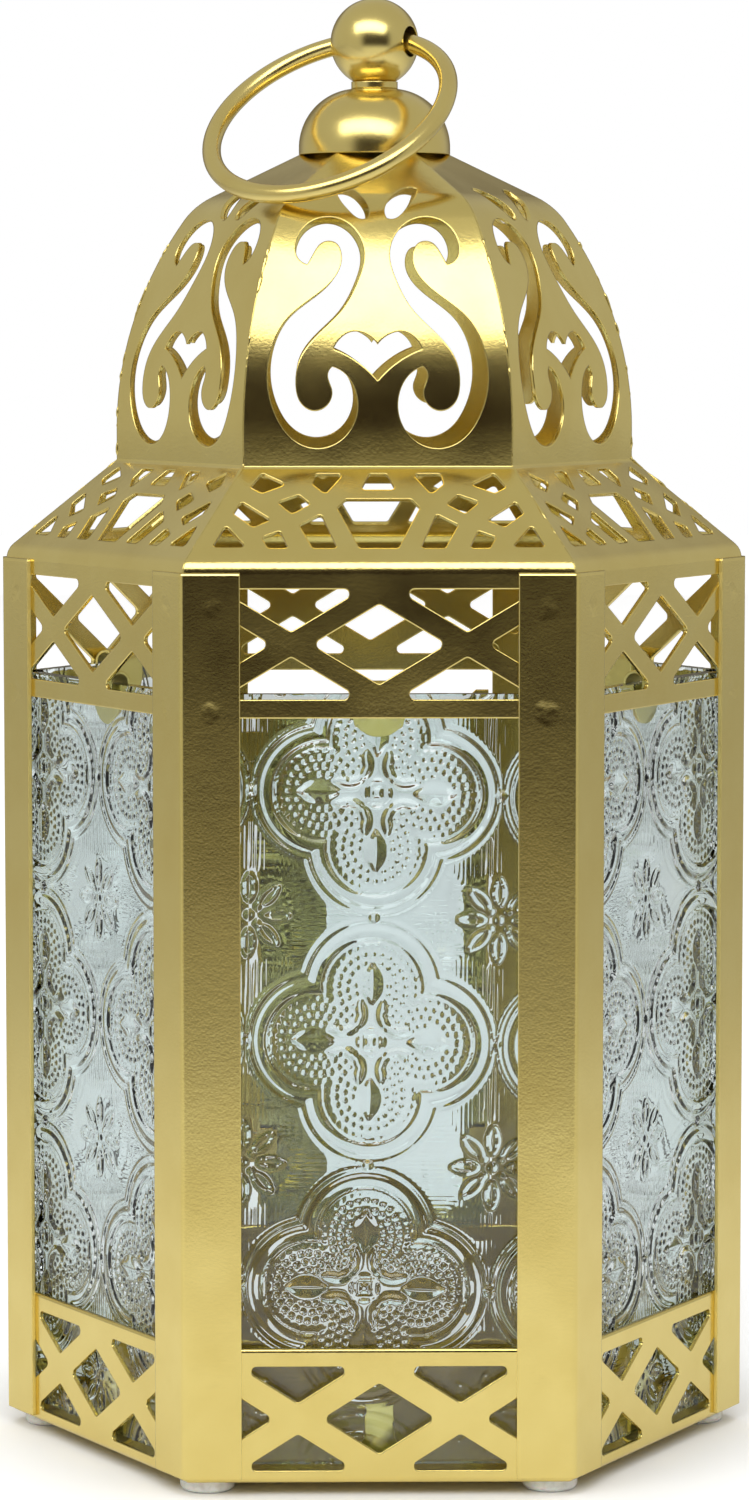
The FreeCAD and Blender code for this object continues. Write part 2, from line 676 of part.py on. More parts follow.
def crown_pieces():
    """Build the pieces stacked on the crown and the screw that holds them."""
    hole = dim.screw_radius + dim.screw_play
    washer_top = crown_top - dim.sheet
    washer_bottom = washer_top - dim.washer_height
    revolve(new_body("crown_washer"), [(hole, washer_bottom), (dim.washer_radius, washer_bottom),
                                       (dim.washer_radius, washer_top), (hole, washer_top)])

    head_round = dim.screw_head_height / 2
    screw_end = collar_top + dim.screw_grip
    head_bottom = washer_bottom - dim.screw_head_height
    revolve(new_body("crown_screw"), [
        (0.0, head_bottom),
        (dim.screw_head - head_round, head_bottom),
        (dim.screw_head, head_bottom + head_round, head_round),
        (dim.screw_head, washer_bottom),
        (dim.screw_radius, washer_bottom),
        (dim.screw_radius, screw_end),
        (0.0, screw_end),
    ])

    rim_top = crown_top + dim.cap_rim
    flat = dim.cap_radius - dim.cap_shoulder
    inside = dim.cap_radius - dim.sheet
    revolve(new_body("crown_cap"), [
        (inside, crown_top),
        (dim.cap_radius, crown_top),
        (dim.cap_radius, rim_top),
        (flat, cap_top, dim.cap_shoulder),
        (hole, cap_top),
        (hole, cap_top - dim.sheet),
        (flat, cap_top - dim.sheet),
        (inside, rim_top, dim.sheet - dim.cap_shoulder),
    ])

    revolve(new_body("ball_collar"), [(hole, cap_top), (dim.collar_radius, cap_top),
                                      (dim.collar_radius, collar_top), (hole, collar_top)])


def ball():
    """Build the ball, with a cross hole for the ring and a threaded hole for the crown screw."""
    body = new_body("ball", dim.ball_turn)
    revolve(body, [
        (0.0, collar_top),
        (dim.ball_flat, collar_top),
        (0.0, ball_height + dim.ball_radius, dim.ball_radius),
    ])
    thread = new_sketch(body, "XY_Plane", "thread", collar_top)
    draw_circle(thread, 0.0, 0.0, dim.screw_radius)
    pocket(body, thread, dim.screw_grip, along_normal=True)
    cross = new_sketch(body, "YZ_Plane", "cross_hole")
    draw_circle(cross, 0.0, ball_height, ring_hole)
    pocket(body, cross, symmetric=True)
    return body


def wire_sagitta():
    """Return half the rise of the ring's wire inside the ball, which centres the wire in its hole."""
    chord = dim.ball_radius * dim.ball_radius
    return (dim.ring_radius - root_of(dim.ring_radius * dim.ring_radius - chord)) / 2


ring_offset = wire_sagitta()
ring_hole = dim.wire_radius + ring_offset + dim.ring_play


def ridge_points():
    """Return close-set points along the outside of a roof ridge, as distance from the middle and height."""
    points = []
    steps = 120
    for step in range(steps + 1):
        angle = math.radians(dim.petal_sweep * step / steps)
        points.append((dim.dome_apothem - dim.petal_radius * (1 - math.cos(angle)),
                       petal_spring + dim.petal_radius * math.sin(angle)))
    for step in range(steps + 1):
        angle = math.radians(dim.petal_sweep + (crown_turn - dim.petal_sweep) * step / steps)
        points.append((shoulder_centre + dim.shoulder_radius * math.cos(angle),
                       shoulder_centre_height + dim.shoulder_radius * math.sin(angle)))
    return [Vector(apothem / COS30, height, 0) for apothem, height in points]


def ring_lean():
    """Return the angle below level at which the ring comes to rest on a roof ridge."""
    ridge = ridge_points()
    reach = 2 * dim.ring_radius - ring_offset
    clear = dim.wire_radius + dim.ring_play
    low, high = 0.0, 80.0
    for halving in range(40):
        lean = (low + high) / 2
        wire = Vector(reach * math.cos(math.radians(lean)), ball_height - reach * math.sin(math.radians(lean)), 0)
        if min((wire - point).Length for point in ridge) > clear:
            low = lean
        else:
            high = lean
    return low


def carrying_ring():
    """Build the ring, leaning on the roof ridge square to the ball's hole."""
    ring = doc.addObject("Part::Torus", "carrying_ring")
    ring.Label = "carrying_ring"
    for name, value in (("Radius1", dim.ring_radius), ("Radius2", dim.wire_radius)):
        setattr(ring, name, float(value))
        ring.setExpression(name, formula_of(value))
    hole = Placement(Vector(0, 0, ball_height), Rotation(Vector(0, 0, 1), dim.ball_turn))
    lean = Placement(Vector(0, 0, 0), Rotation(Vector(1, 0, 0), ring_lean()))
    hang = Placement(Vector(0, ring_offset - dim.ring_radius, 0), Rotation())
    ring.Placement = hole * lean * hang
    return ring


# Door on the rear face

door_left = hinge_x + dim.hinge_reach
door_right = window_half - dim.door_side_gap
door_top = window_top - dim.door_drop
stile_top = door_top - dim.pane_corner
return_depth = dim.glass + door_sheet


def box_outline(left, right, low, high):
    """Return a rectangle's outline."""
    return [(left, low), (right, low), (right, high), (left, high)]


def door_frame():
    """Build the door's frame: two stiles and a rail, with side returns and tabs that hold its pane."""
    body = new_body("door_frame", base=Vector(0, post_face, 0))
    plate = new_sketch(body, "XZ_Plane", "plate")
    bottom = sill - dim.door_lap
    stile_edge = door_left + dim.door_stile
    free_edge = door_right - dim.door_edge
    rail_top = bottom + dim.door_rail
    free_top = door_top + dim.door_lap
    draw(plate, [
        (door_left, bottom),
        (door_right, bottom),
        (door_right, free_top),
        (free_edge + dim.door_lap, free_top),
        (free_edge, door_top),
        (free_edge, rail_top),
        (stile_edge, rail_top),
        (stile_edge, stile_top),
        (door_left, stile_top),
    ])
    pad(body, plate, door_sheet)

    return_bottom = sill + dim.pane_play
    returns = new_sketch(body, "XY_Plane", "returns", return_bottom)
    for edge, inner in ((door_left, door_left + door_sheet), (door_right - door_sheet, door_right)):
        draw(returns, box_outline(edge, inner, -door_sheet - return_depth, -door_sheet))
    pad(body, returns, stile_top - return_bottom)

    tabs = new_sketch(body, "XZ_Plane", "tabs", door_sheet + dim.glass)
    for low in (sill + dim.hinge_inset, stile_top - dim.tab_height):
        for edge, inner in ((door_left, door_left + dim.door_tab), (door_right - dim.door_tab, door_right)):
            draw(tabs, box_outline(edge, inner, low, low + dim.tab_height))
    pad(body, tabs, door_sheet)
    return body


def door_pane():
    """Build the door's pane, with its upper corners cut off."""
    body = new_body("door_pane", base=Vector(0, post_face - door_sheet, 0))
    left = door_left + door_sheet + dim.clip_play
    right = door_right - door_sheet - dim.clip_play
    cut = dim.pane_corner
    outline = new_sketch(body, "XZ_Plane", "outline")
    draw(outline, [(left, sill + dim.pane_play), (right, sill + dim.pane_play), (right, door_top - cut),
                   (right - cut, door_top), (left + cut, door_top), (left, door_top - cut)])
    pad(body, outline, dim.glass)
    return body


def hinge_section(side):
    """Return a knuckle's outline: a barrel round the pin and the strip that leads to its leaf."""
    barrel = hinge_barrel
    strip_top = door_sheet - barrel
    meet = root_of(barrel * barrel - strip_top * strip_top)
    reach = barrel + dim.knuckle_gap
    return [
        (reach * side, -barrel),
        (0.0, -barrel),
        (barrel * -side, 0.0, barrel * -side),
        (0.0, barrel, barrel * -side),
        (meet * side, strip_top, barrel * -side),
        (reach * side, strip_top),
    ]


def hinge_leaf(label, low, side, knuckles, bore):
    """Build a hinge leaf on one side of the pin, with knuckles between the given heights."""
    body = new_body(label, base=Vector(hinge_x, hinge_y, low))
    barrel = hinge_barrel
    edge = barrel + dim.knuckle_gap
    leaf = new_sketch(body, "XY_Plane", "leaf")
    near, far = sorted((edge * side, dim.hinge_leaf * side + barrel * side))
    draw(leaf, box_outline(near, far, -barrel, door_sheet - barrel))
    pad(body, leaf, dim.hinge_height)
    for number, (start, end) in enumerate(knuckles):
        knuckle = new_sketch(body, "XY_Plane", "knuckle{}".format(number), start)
        draw(knuckle, hinge_section(side))
        draw_circle(knuckle, 0.0, 0.0, bore)
        pad(body, knuckle, end - start)
    return body


def hinge(level, low):
    """Build one hinge: a leaf on the post, a leaf on the door and their pin."""
    third = dim.hinge_height / 3
    gap = dim.knuckle_gap / 2
    hinge_leaf("hinge_post_leaf_" + level, low, -1.0,
               [(Size(0.0), third - gap), (third * 2 + gap, dim.hinge_height)], dim.pin_radius)
    hinge_leaf("hinge_door_leaf_" + level, low, 1.0,
               [(third + gap, third * 2 - gap)], dim.pin_radius + dim.pin_play)
    pin = doc.addObject("Part::Cylinder", "hinge_pin_" + level)
    pin.Label = "hinge_pin_" + level
    for name, value in (("Radius", dim.pin_radius), ("Height", dim.hinge_height)):
        setattr(pin, name, float(value))
        pin.setExpression(name, formula_of(value))
    pin.Placement = Placement(Vector(hinge_x, hinge_y, low), Rotation())


def latch():
    """Build the turning latch and the stud that carries it on the post."""
    latch_x = dim.hex_side / 2 - dim.post_flange / 2
    latch_z = (sill + window_top) / 2
    place = Vector(latch_x, post_face, latch_z)
    body = new_body("door_latch", base=place)
    half = dim.latch_width / 2
    outline = new_sketch(body, "XZ_Plane", "outline", -dim.latch_gap - dim.sheet)
    draw(outline, [
        (half, 0.0), (0.0, half, half), (-half, 0.0, half),
        (-half, half - dim.latch_length), (0.0, -dim.latch_length, half), (half, half - dim.latch_length, half),
    ])
    draw_circle(outline, 0.0, 0.0, dim.stud_radius + dim.pin_play)
    pad(body, outline, dim.sheet)

    stud = new_body("latch_stud", base=place)
    stud.Placement = Placement(place, Rotation(Vector(1, 0, 0), -90.0))
    neck = dim.latch_gap * 2 + dim.sheet
    head_top = neck + dim.stud_head_height
    revolve(stud, [
        (0.0, 0.0), (dim.stud_radius, 0.0), (dim.stud_radius, neck), (dim.stud_head, neck),
        (dim.stud_head - dim.stud_head_height, head_top, dim.stud_head_height), (0.0, head_top),
    ])


# Feet

def foot(label, turn):
    """Build a bumper foot with a rounded lower edge."""
    reach = dim.hex_side - dim.foot_inset
    body = new_body(label, turn, Rotation(Vector(0, 0, 1), turn).multVec(Vector(reach, 0, 0)))
    edge = dim.foot_height / 2
    revolve(body, [(0.0, 0.0), (dim.foot_radius - edge, 0.0), (dim.foot_radius, edge, edge),
                   (dim.foot_radius, dim.foot_height), (0.0, dim.foot_height)])
    return body


def build():
    """Build every piece of the lantern."""
    base_tray()
    pane_place = Vector(-dim.pane_width / 2, -glass_face, pane_bottom)
    for number, face in enumerate(FACES):
        turn = SIXTH * number
        roof_segment("roof_segment_" + face, turn)
        if face != DOOR_FACE:
            plain_pane("glass_pane_" + face, dim.pane_width, pane_top - pane_bottom, pane_place, turn)
            top_clip("top_clip_" + face, turn)
            bottom_clip("bottom_clip_" + face, turn)
    for number, corner in enumerate(CORNERS):
        corner_post("corner_post_" + corner, SIXTH * number)
        foot("foot_" + corner, SIXTH * number)
    crown_pieces()
    ball()
    carrying_ring()
    door_frame()
    door_pane()
    hinge("lower", sill + dim.hinge_inset)
    hinge("upper", window_top - dim.hinge_inset - dim.hinge_height)
    latch()


def pieces():
    """Return the document objects that are pieces of the lantern."""
    kinds = ("PartDesign::Body", "Part::Box", "Part::Cylinder", "Part::Torus")
    return [item for item in doc.Objects if item.TypeId in kinds]


def check():
    """Stop if any object failed, any piece has no sound solid, or any cut removed nothing."""
    for item in doc.Objects:
        if "Invalid" in item.State or "Error" in item.State:
            raise RuntimeError("{} failed: {}".format(item.Name, item.State))
        if item.TypeId == "PartDesign::Pocket" and item.Shape.Volume >= item.BaseFeature.Shape.Volume:
            raise RuntimeError("{} cuts nothing".format(item.Name))
    for piece in pieces():
        if piece.Shape.isNull() or not piece.Shape.isValid() or len(piece.Shape.Solids) != 1:
            raise RuntimeError("{} is not one sound solid".format(piece.Label))


def export():
    """Write every piece to its own STEP file."""
    os.makedirs("parts", exist_ok=True)
    for piece in pieces():
        piece.Shape.exportStep("parts/{}.step".format(piece.Label))


build()
doc.recompute()
check()
export()
print("{} pieces, {:.1f} mm high, ring leaning {:.2f} degrees from a hole at {:.3f} mm".format(
    len(pieces()), float(ball_height + dim.ball_radius), ring_lean(), float(ball_height)))
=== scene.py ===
"""Dresses the hexagonal candle lantern: satin gold sheet, pressed glass and a plain studio."""
import json
import logging
import math
from dataclasses import dataclass, field, replace
from enum import Enum
from typing import Sequence

import bpy
import numpy as np
from mathutils import Matrix, Vector


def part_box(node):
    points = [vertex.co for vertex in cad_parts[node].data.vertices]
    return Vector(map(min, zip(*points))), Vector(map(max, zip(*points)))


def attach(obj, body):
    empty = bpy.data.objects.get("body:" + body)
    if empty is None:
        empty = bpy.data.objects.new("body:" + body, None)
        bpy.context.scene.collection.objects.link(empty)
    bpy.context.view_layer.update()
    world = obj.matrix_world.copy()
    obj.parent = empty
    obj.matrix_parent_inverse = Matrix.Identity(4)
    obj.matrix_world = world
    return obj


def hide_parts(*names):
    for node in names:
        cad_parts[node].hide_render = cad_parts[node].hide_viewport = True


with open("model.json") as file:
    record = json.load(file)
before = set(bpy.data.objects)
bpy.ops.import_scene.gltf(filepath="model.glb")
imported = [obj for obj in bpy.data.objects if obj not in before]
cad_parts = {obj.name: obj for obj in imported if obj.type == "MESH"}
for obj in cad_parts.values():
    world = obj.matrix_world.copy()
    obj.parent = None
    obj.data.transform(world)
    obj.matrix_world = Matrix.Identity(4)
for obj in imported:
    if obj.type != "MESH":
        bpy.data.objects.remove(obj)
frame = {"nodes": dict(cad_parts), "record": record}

log = logging.getLogger("lantern")

Triple = tuple[float, float, float]
Colour = Triple
Span = tuple[float, float]
Node = bpy.types.Node
Socket = bpy.types.NodeSocket

MM = 0.001
TINY = 1e-6
SIXTH = math.radians(60.0)
UP = Vector((0.0, 0.0, 1.0))
WHITE = (1.0, 1.0, 1.0)
COLOUR_SOCKET = "NodeSocketColor"
VALUE_SOCKET = "NodeSocketFloat"

# The rolled upper edge of the posts and the base: how far it reaches down, and how far it falls back
ROLL = (-0.6 * MM, -0.22 * MM)

# The foot of the dome, and the bends beside it: the petals' tuck above it, the eave's hollow and the
# fold's fillet below it, each with its reach up or down and its rise or fall
DOME_FOOT = 144.1 * MM
FOOT_BENDS = ((10.0 * MM, -0.26 * MM), (-6.0 * MM, -0.6 * MM), (-0.5 * MM, 0.21 * MM))


class Face(Enum):
    """The lantern's faces, each with its turns of a sixth from the front."""

    FRONT = 0
    FRONT_RIGHT = 1
    REAR_RIGHT = 2
    REAR = 3
    REAR_LEFT = 4
    FRONT_LEFT = 5

    @property
    def word(self) -> str:
        """The face's name as the nodes spell it."""
        return self.name.lower()

    @property
    def turn(self) -> Matrix:
        """The turn that brings the front to this face."""
        return Matrix.Rotation(self.value * SIXTH, 4, "Z")


class Body(Enum):
    """The bodies that carry pieces made here."""

    LANTERN = "lantern"
    DOOR = "door"


# Shader trees


class ShaderTree:
    """A small helper that fills a node tree and links sockets by name."""

    def __init__(self, tree: bpy.types.NodeTree) -> None:
        """Take over a node tree.

        Args:
            tree: the tree that gets the nodes.
        """
        self.tree = tree

    def add(self, kind: str, **values: object) -> Node:
        """Add a node.

        Args:
            kind: the node's type name.
            values: properties of the node, or input values by socket name with spaces as underscores.

        Returns:
            The new node.
        """
        node = self.tree.nodes.new(kind)
        for name, value in values.items():
            if hasattr(node, name):
                setattr(node, name, value)
            else:
                node.inputs[name.replace("_", " ")].default_value = value
        return node

    def link(self, source: Socket, target: Socket) -> None:
        """Join an output to an input."""
        self.tree.links.new(source, target)

    def feed(self, socket: Socket, value: object) -> None:
        """Give an input a plain value, or link it where the value is an output."""
        if isinstance(value, Socket):
            self.link(value, socket)
        else:
            socket.default_value = value

    def place(self) -> Socket:
        """Return the place on the piece, in Object coordinates."""
        return self.add("ShaderNodeTexCoord").outputs["Object"]

    def split(self, vector: Socket) -> Sequence[Socket]:
        """Return a vector's three values."""
        node = self.add("ShaderNodeSeparateXYZ")
        self.link(vector, node.inputs["Vector"])
        return node.outputs

    def joined(self, x: Socket, y: Socket) -> Socket:
        """Return a flat vector of two values."""
        node = self.add("ShaderNodeCombineXYZ")
        self.link(x, node.inputs["X"])
        self.link(y, node.inputs["Y"])
        return node.outputs["Vector"]

    def length(self, vector: Socket) -> Socket:
        """Return a vector's length."""
        node = self.add("ShaderNodeVectorMath", operation="LENGTH")
        self.link(vector, node.inputs[0])
        return node.outputs["Value"]

    def noise(self, place: Socket, scale: float, detail: float = 2.0, output: str = "Fac") -> Socket:
        """Add a noise texture.

        Args:
            place: the place that the noise reads.
            scale: features per metre.
            detail: octaves of finer noise.
            output: the name of the output to take.

        Returns:
            The noise.
        """
        node = self.add("ShaderNodeTexNoise", Scale=scale, Detail=detail)
        self.link(place, node.inputs["Vector"])
        return node.outputs[output]

    def spread(self, value: Socket, low: float, high: float, to_low: object = 0.0,
               to_high: object = 1.0, smooth: bool = False) -> Socket:
        """Map a range of a value to another range, clamped.

        Args:
            value: the value to map.
            low: start of its range.
            high: end of its range.
            to_low: result at the start, a number or a socket.
            to_high: result at the end, a number or a socket.
            smooth: whether the result eases in and out.

        Returns:
            The mapped value.
        """
        ease = "SMOOTHSTEP" if smooth else "LINEAR"
        node = self.add("ShaderNodeMapRange", interpolation_type=ease, From_Min=low, From_Max=high)
        self.link(value, node.inputs["Value"])
        self.feed(node.inputs["To Min"], to_low)
        self.feed(node.inputs["To Max"], to_high)
        return node.outputs["Result"]

    def math(self, operation: str, *terms: object) -> Socket:
        """Add a math node.

        Args:
            operation: the sum to do.
            terms: its inputs, each a number or a socket.

        Returns:
            The result.
        """
        node = self.add("ShaderNodeMath", operation=operation)
        for socket, term in zip(node.inputs, terms):
            self.feed(socket, term)
        return node.outputs["Value"]

    def sum(self, first: Socket, second: Socket, weight: float) -> Socket:
        """Return first plus weight times second."""
        return self.math("MULTIPLY_ADD", second, weight, first)

    def blend(self, mask: Socket, first: object, second: object) -> Socket:
        """Mix two colours, each a colour or a socket, by a mask."""
        node = self.add("ShaderNodeMix", data_type="RGBA")
        self.link(mask, node.inputs["Factor"])
        for name, colour in (("A", first), ("B", second)):
            sockets = [item for item in node.inputs if item.name == name and item.type == "RGBA"]
            self.feed(sockets[0], colour if isinstance(colour, Socket) else (*colour, 1.0))
        return [item for item in node.outputs if item.type == "RGBA"][0]

    def bumped(self, height: Socket, depth: float, strength: float = 1.0,
               normal: Socket | None = None) -> Socket:
        """Bend a normal by a height.

        Args:
            height: the height of the surface.
            depth: how far a height of 1 stands out.
            strength: how much of the bend shows.
            normal: the normal to start from, or the surface's own.

        Returns:
            The bent normal.
        """
        node = self.add("ShaderNodeBump", Strength=strength, Distance=depth)
        self.link(height, node.inputs["Height"])
        if normal is not None:
            self.link(normal, node.inputs["Normal"])
        return node.outputs["Normal"]


def new_group(name: str, inputs: dict[str, str],
              outputs: dict[str, str]) -> tuple[ShaderTree, Node, Node]:
    """Make an empty shader node group.

    Args:
        name: the group's name.
        inputs: the kind of socket of each input, by its label.
        outputs: the kind of socket of each output, by its label.

    Returns:
        The group's tree, its input node and its output node.
    """
    tree = bpy.data.node_groups.new(name, "ShaderNodeTree")
    for way, sockets in (("INPUT", inputs), ("OUTPUT", outputs)):
        for label, kind in sockets.items():
            tree.interface.new_socket(label, in_out=way, socket_type=kind)
    return ShaderTree(tree), tree.nodes.new("NodeGroupInput"), tree.nodes.new("NodeGroupOutput")


@dataclass(frozen=True)
class SatinPatina:
    """The mottled, finely grained surface that all metal shares, its noises in features per metre."""

    name: str = "satin_patina"
    clouds: float = 95.0
    grain: float = 2600.0
    film: float = 700.0
    dents: float = 45.0
    tint_span: Span = (0.35, 0.75)
    cloud_tint: float = 0.75
    grain_tint: float = 0.2
    gloss_span: Span = (0.3, 0.7)
    cloud_gloss: float = 0.6
    grain_gloss: float = 0.4
    dent_height: float = 5.0
    film_height: float = 0.8

    def group(self) -> bpy.types.NodeTree:
        """Build the surface's node group once.

        Returns:
            The group, with colour, roughness and height.
        """
        if self.name in bpy.data.node_groups:
            return bpy.data.node_groups[self.name]
        inputs = {"Light": COLOUR_SOCKET, "Deep": COLOUR_SOCKET, "Smooth": VALUE_SOCKET,
                  "Rough": VALUE_SOCKET}
        outputs = {"Color": COLOUR_SOCKET, "Roughness": VALUE_SOCKET, "Height": VALUE_SOCKET}
        tree, given, result = new_group(self.name, inputs, outputs)
        light, deep, smooth, rough = (given.outputs[label] for label in inputs)
        place = tree.place()
        clouds = tree.noise(place, self.clouds, detail=4.0)
        grain = tree.noise(place, self.grain)
        film = tree.noise(place, self.film)
        dents = tree.noise(place, self.dents, detail=1.0)
        tint = tree.spread(clouds, *self.tint_span, 0.0, self.cloud_tint)
        mottle = tree.sum(tint, grain, self.grain_tint)
        gloss = tree.spread(clouds, *self.gloss_span, 0.0, self.cloud_gloss)
        uneven = tree.sum(gloss, grain, self.grain_gloss)
        height = tree.sum(tree.sum(grain, dents, self.dent_height), film, self.film_height)
        tree.link(tree.blend(mottle, light, deep), result.inputs["Color"])
        tree.link(tree.spread(uneven, 0.0, 1.0, smooth, rough), result.inputs["Roughness"])
        tree.link(height, result.inputs["Height"])
        return tree.tree


@dataclass(frozen=True)
class FlangeMarks:
    """The spot-weld dimples and the cut edge on both flanges of every corner post.

    Each dimple has its height on the post, its radius and its share of the depth.
    """

    name: str = "post_flange_marks"
    hexagon_side: float = 55.0 * MM
    flange_width: float = 8.2 * MM
    cut_edge: Span = (0.08 * MM, 0.02 * MM)
    dimples: tuple[Triple, ...] = ((125.0 * MM, 1.6 * MM, 0.6), (110.5 * MM, 1.9 * MM, 1.0),
                                   (17.0 * MM, 1.7 * MM, 0.5))
    dimple_place: float = 4.3 * MM
    stray: float = 2.6 * MM
    stray_grain: float = 420.0

    def group(self) -> bpy.types.NodeTree:
        """Build the marks' node group once.

        Returns:
            The group, with the dimples' height and the mask of the cut edge.
        """
        if self.name in bpy.data.node_groups:
            return bpy.data.node_groups[self.name]
        outputs = {"Height": VALUE_SOCKET, "Edge": VALUE_SOCKET}
        tree, _, result = new_group(self.name, {}, outputs)
        place = tree.place()
        x, y, z = tree.split(place)
        across = self.across(tree, x, y)
        edge = tree.spread(across, *(self.flange_width - strip for strip in self.cut_edge))
        tree.link(edge, result.inputs["Edge"])
        uneven = tree.noise(place, self.stray_grain, detail=1.0, output="Color")
        strayed = tree.add("ShaderNodeVectorMath", operation="MULTIPLY_ADD")
        tree.link(uneven, strayed.inputs[0])
        strayed.inputs[1].default_value = [self.stray] * 3
        tree.link(tree.joined(across, z), strayed.inputs[2])
        total = None
        for height, radius, share in self.dimples:
            middle = (self.dimple_place, height, 0.0)
            apart = tree.add("ShaderNodeVectorMath", operation="DISTANCE")
            tree.link(strayed.outputs["Vector"], apart.inputs[0])
            apart.inputs[1].default_value = [value + self.stray / 2 for value in middle]
            dip = tree.spread(apart.outputs["Value"], 0.0, radius, -share, 0.0, smooth=True)
            total = dip if total is None else tree.math("ADD", total, dip)
        tree.link(total, result.inputs["Height"])
        return tree.tree

    def across(self, tree: ShaderTree, x: Socket, y: Socket) -> Socket:
        """Work out how far a place is from its corner along the flange, the same on all flanges.

        Args:
            tree: the group's tree.
            x: the place's first coordinate.
            y: the place's second coordinate.

        Returns:
            The distance.
        """
        folded = tree.math("PINGPONG", tree.math("ARCTAN2", y, x), SIXTH / 2)
        reach = tree.length(tree.joined(x, y))
        outward = tree.math("MULTIPLY", reach, tree.math("COSINE", folded))
        beside = tree.math("MULTIPLY", reach, tree.math("SINE", folded))
        inward = tree.math("SUBTRACT", self.hexagon_side, outward)
        return tree.math("ADD", tree.math("MULTIPLY", inward, math.sin(SIXTH / 2)),
                         tree.math("MULTIPLY", beside, math.cos(SIXTH / 2)))


# Finishes


@dataclass(frozen=True)
class Finish:
    """A finish that becomes one material when it is first asked for."""

    name: str

    def material(self) -> bpy.types.Material:
        """Build the finish's material once.

        Returns:
            The material.
        """
        if self.name in bpy.data.materials:
            return bpy.data.materials[self.name]
        material = bpy.data.materials.new(self.name)
        material.use_nodes = True
        self.fill(ShaderTree(material.node_tree), material.node_tree.nodes["Principled BSDF"])
        return material

    def fill(self, tree: ShaderTree, shader: Node) -> None:
        """Wire the finish to the material's shader.

        Args:
            tree: the material's tree.
            shader: its Principled shader.
        """
        raise NotImplementedError


@dataclass(frozen=True)
class MetalFinish(Finish):
    """A satin metal with a light and a deep tone."""

    light: Colour
    deep: Colour
    smooth: float
    rough: float
    bump: float = 0.16
    bump_depth: float = 0.05 * MM
    edge_radius: float = 0.3 * MM
    edge_samples: int = 8
    dimple_depth: float = 0.0
    cut_edge_metal: float = 0.45
    dent_depth: float = 0.0
    dents: float = 60.0
    rolled_top: float = 0.0
    tucked_foot: float = 0.0
    lean: float = 0.0

    def fill(self, tree: ShaderTree, shader: Node) -> None:
        """Wire patina, rounded edges and the sheet's forms to the shader.

        Args:
            tree: the material's tree.
            shader: its Principled shader.
        """
        shader.inputs["Metallic"].default_value = 1.0
        forms = self.forms(tree)
        if self.dimple_depth:
            marks = tree.add("ShaderNodeGroup", node_tree=FlangeMarks().group())
            metal = tree.spread(marks.outputs["Edge"], 0.0, 1.0, 1.0, self.cut_edge_metal)
            tree.link(metal, shader.inputs["Metallic"])
            forms.insert(0, (marks.outputs["Height"], self.dimple_depth))
        patina = tree.add("ShaderNodeGroup", node_tree=SatinPatina().group())
        patina.inputs["Light"].default_value = (*self.light, 1.0)
        patina.inputs["Deep"].default_value = (*self.deep, 1.0)
        patina.inputs["Smooth"].default_value = self.smooth
        patina.inputs["Rough"].default_value = self.rough
        edges = tree.add("ShaderNodeBevel", samples=self.edge_samples, Radius=self.edge_radius)
        normal = edges.outputs["Normal"]
        for form, depth in forms:
            normal = tree.bumped(form, depth, normal=normal)
        normal = tree.bumped(patina.outputs["Height"], self.bump_depth, self.bump, normal)
        tree.link(patina.outputs["Color"], shader.inputs["Base Color"])
        tree.link(patina.outputs["Roughness"], shader.inputs["Roughness"])
        tree.link(normal, shader.inputs["Normal"])

    def forms(self, tree: ShaderTree) -> list[tuple[Socket, float]]:
        """Work out the shallow forms of the sheet that this finish has.

        Args:
            tree: the material's tree.

        Returns:
            The shape of each form, with its depth.
        """
        place = tree.place()
        height = tree.split(place)[2]
        forms = []
        if self.dent_depth:
            forms.append((tree.noise(place, self.dents, detail=1.0), self.dent_depth))
        bends = [(self.rolled_top, *ROLL)] if self.rolled_top else []
        if self.tucked_foot:
            bends.extend((self.tucked_foot, *bend) for bend in FOOT_BENDS)
        for edge, reach, rise in bends:
            near = tree.math("POWER", tree.spread(height, edge, edge + reach, 1.0, 0.0), 2.0)
            forms.append((tree.math("MULTIPLY", near, math.copysign(1.0, rise)), abs(rise)))
        if self.lean:
            forms.append((tree.math("MULTIPLY", height, -math.tan(self.lean)), 1.0))
        return forms


@dataclass(frozen=True)
class GlassFinish(Finish):
    """Pale pressed glass, faintly rippled."""

    tint: Colour
    deep: Colour
    roughness: float = 0.0
    ior: float = 1.5
    clouds: float = 40.0
    cloud_span: Span = (0.35, 0.65)
    ripples: float = 260.0
    ripple_depth: float = 0.06 * MM
    ripple_strength: float = 0.25

    def fill(self, tree: ShaderTree, shader: Node) -> None:
        """Wire tint and ripples to the shader.

        Args:
            tree: the material's tree.
            shader: its Principled shader.
        """
        shader.inputs["Metallic"].default_value = 0.0
        shader.inputs["Transmission Weight"].default_value = 1.0
        shader.inputs["IOR"].default_value = self.ior
        shader.inputs["Roughness"].default_value = self.roughness
        place = tree.place()
        clouds = tree.spread(tree.noise(place, self.clouds), *self.cloud_span)
        tree.link(tree.blend(clouds, self.tint, self.deep), shader.inputs["Base Color"])
        ripples = tree.noise(place, self.ripples)
        normal = tree.bumped(ripples, self.ripple_depth, self.ripple_strength)
        tree.link(normal, shader.inputs["Normal"])


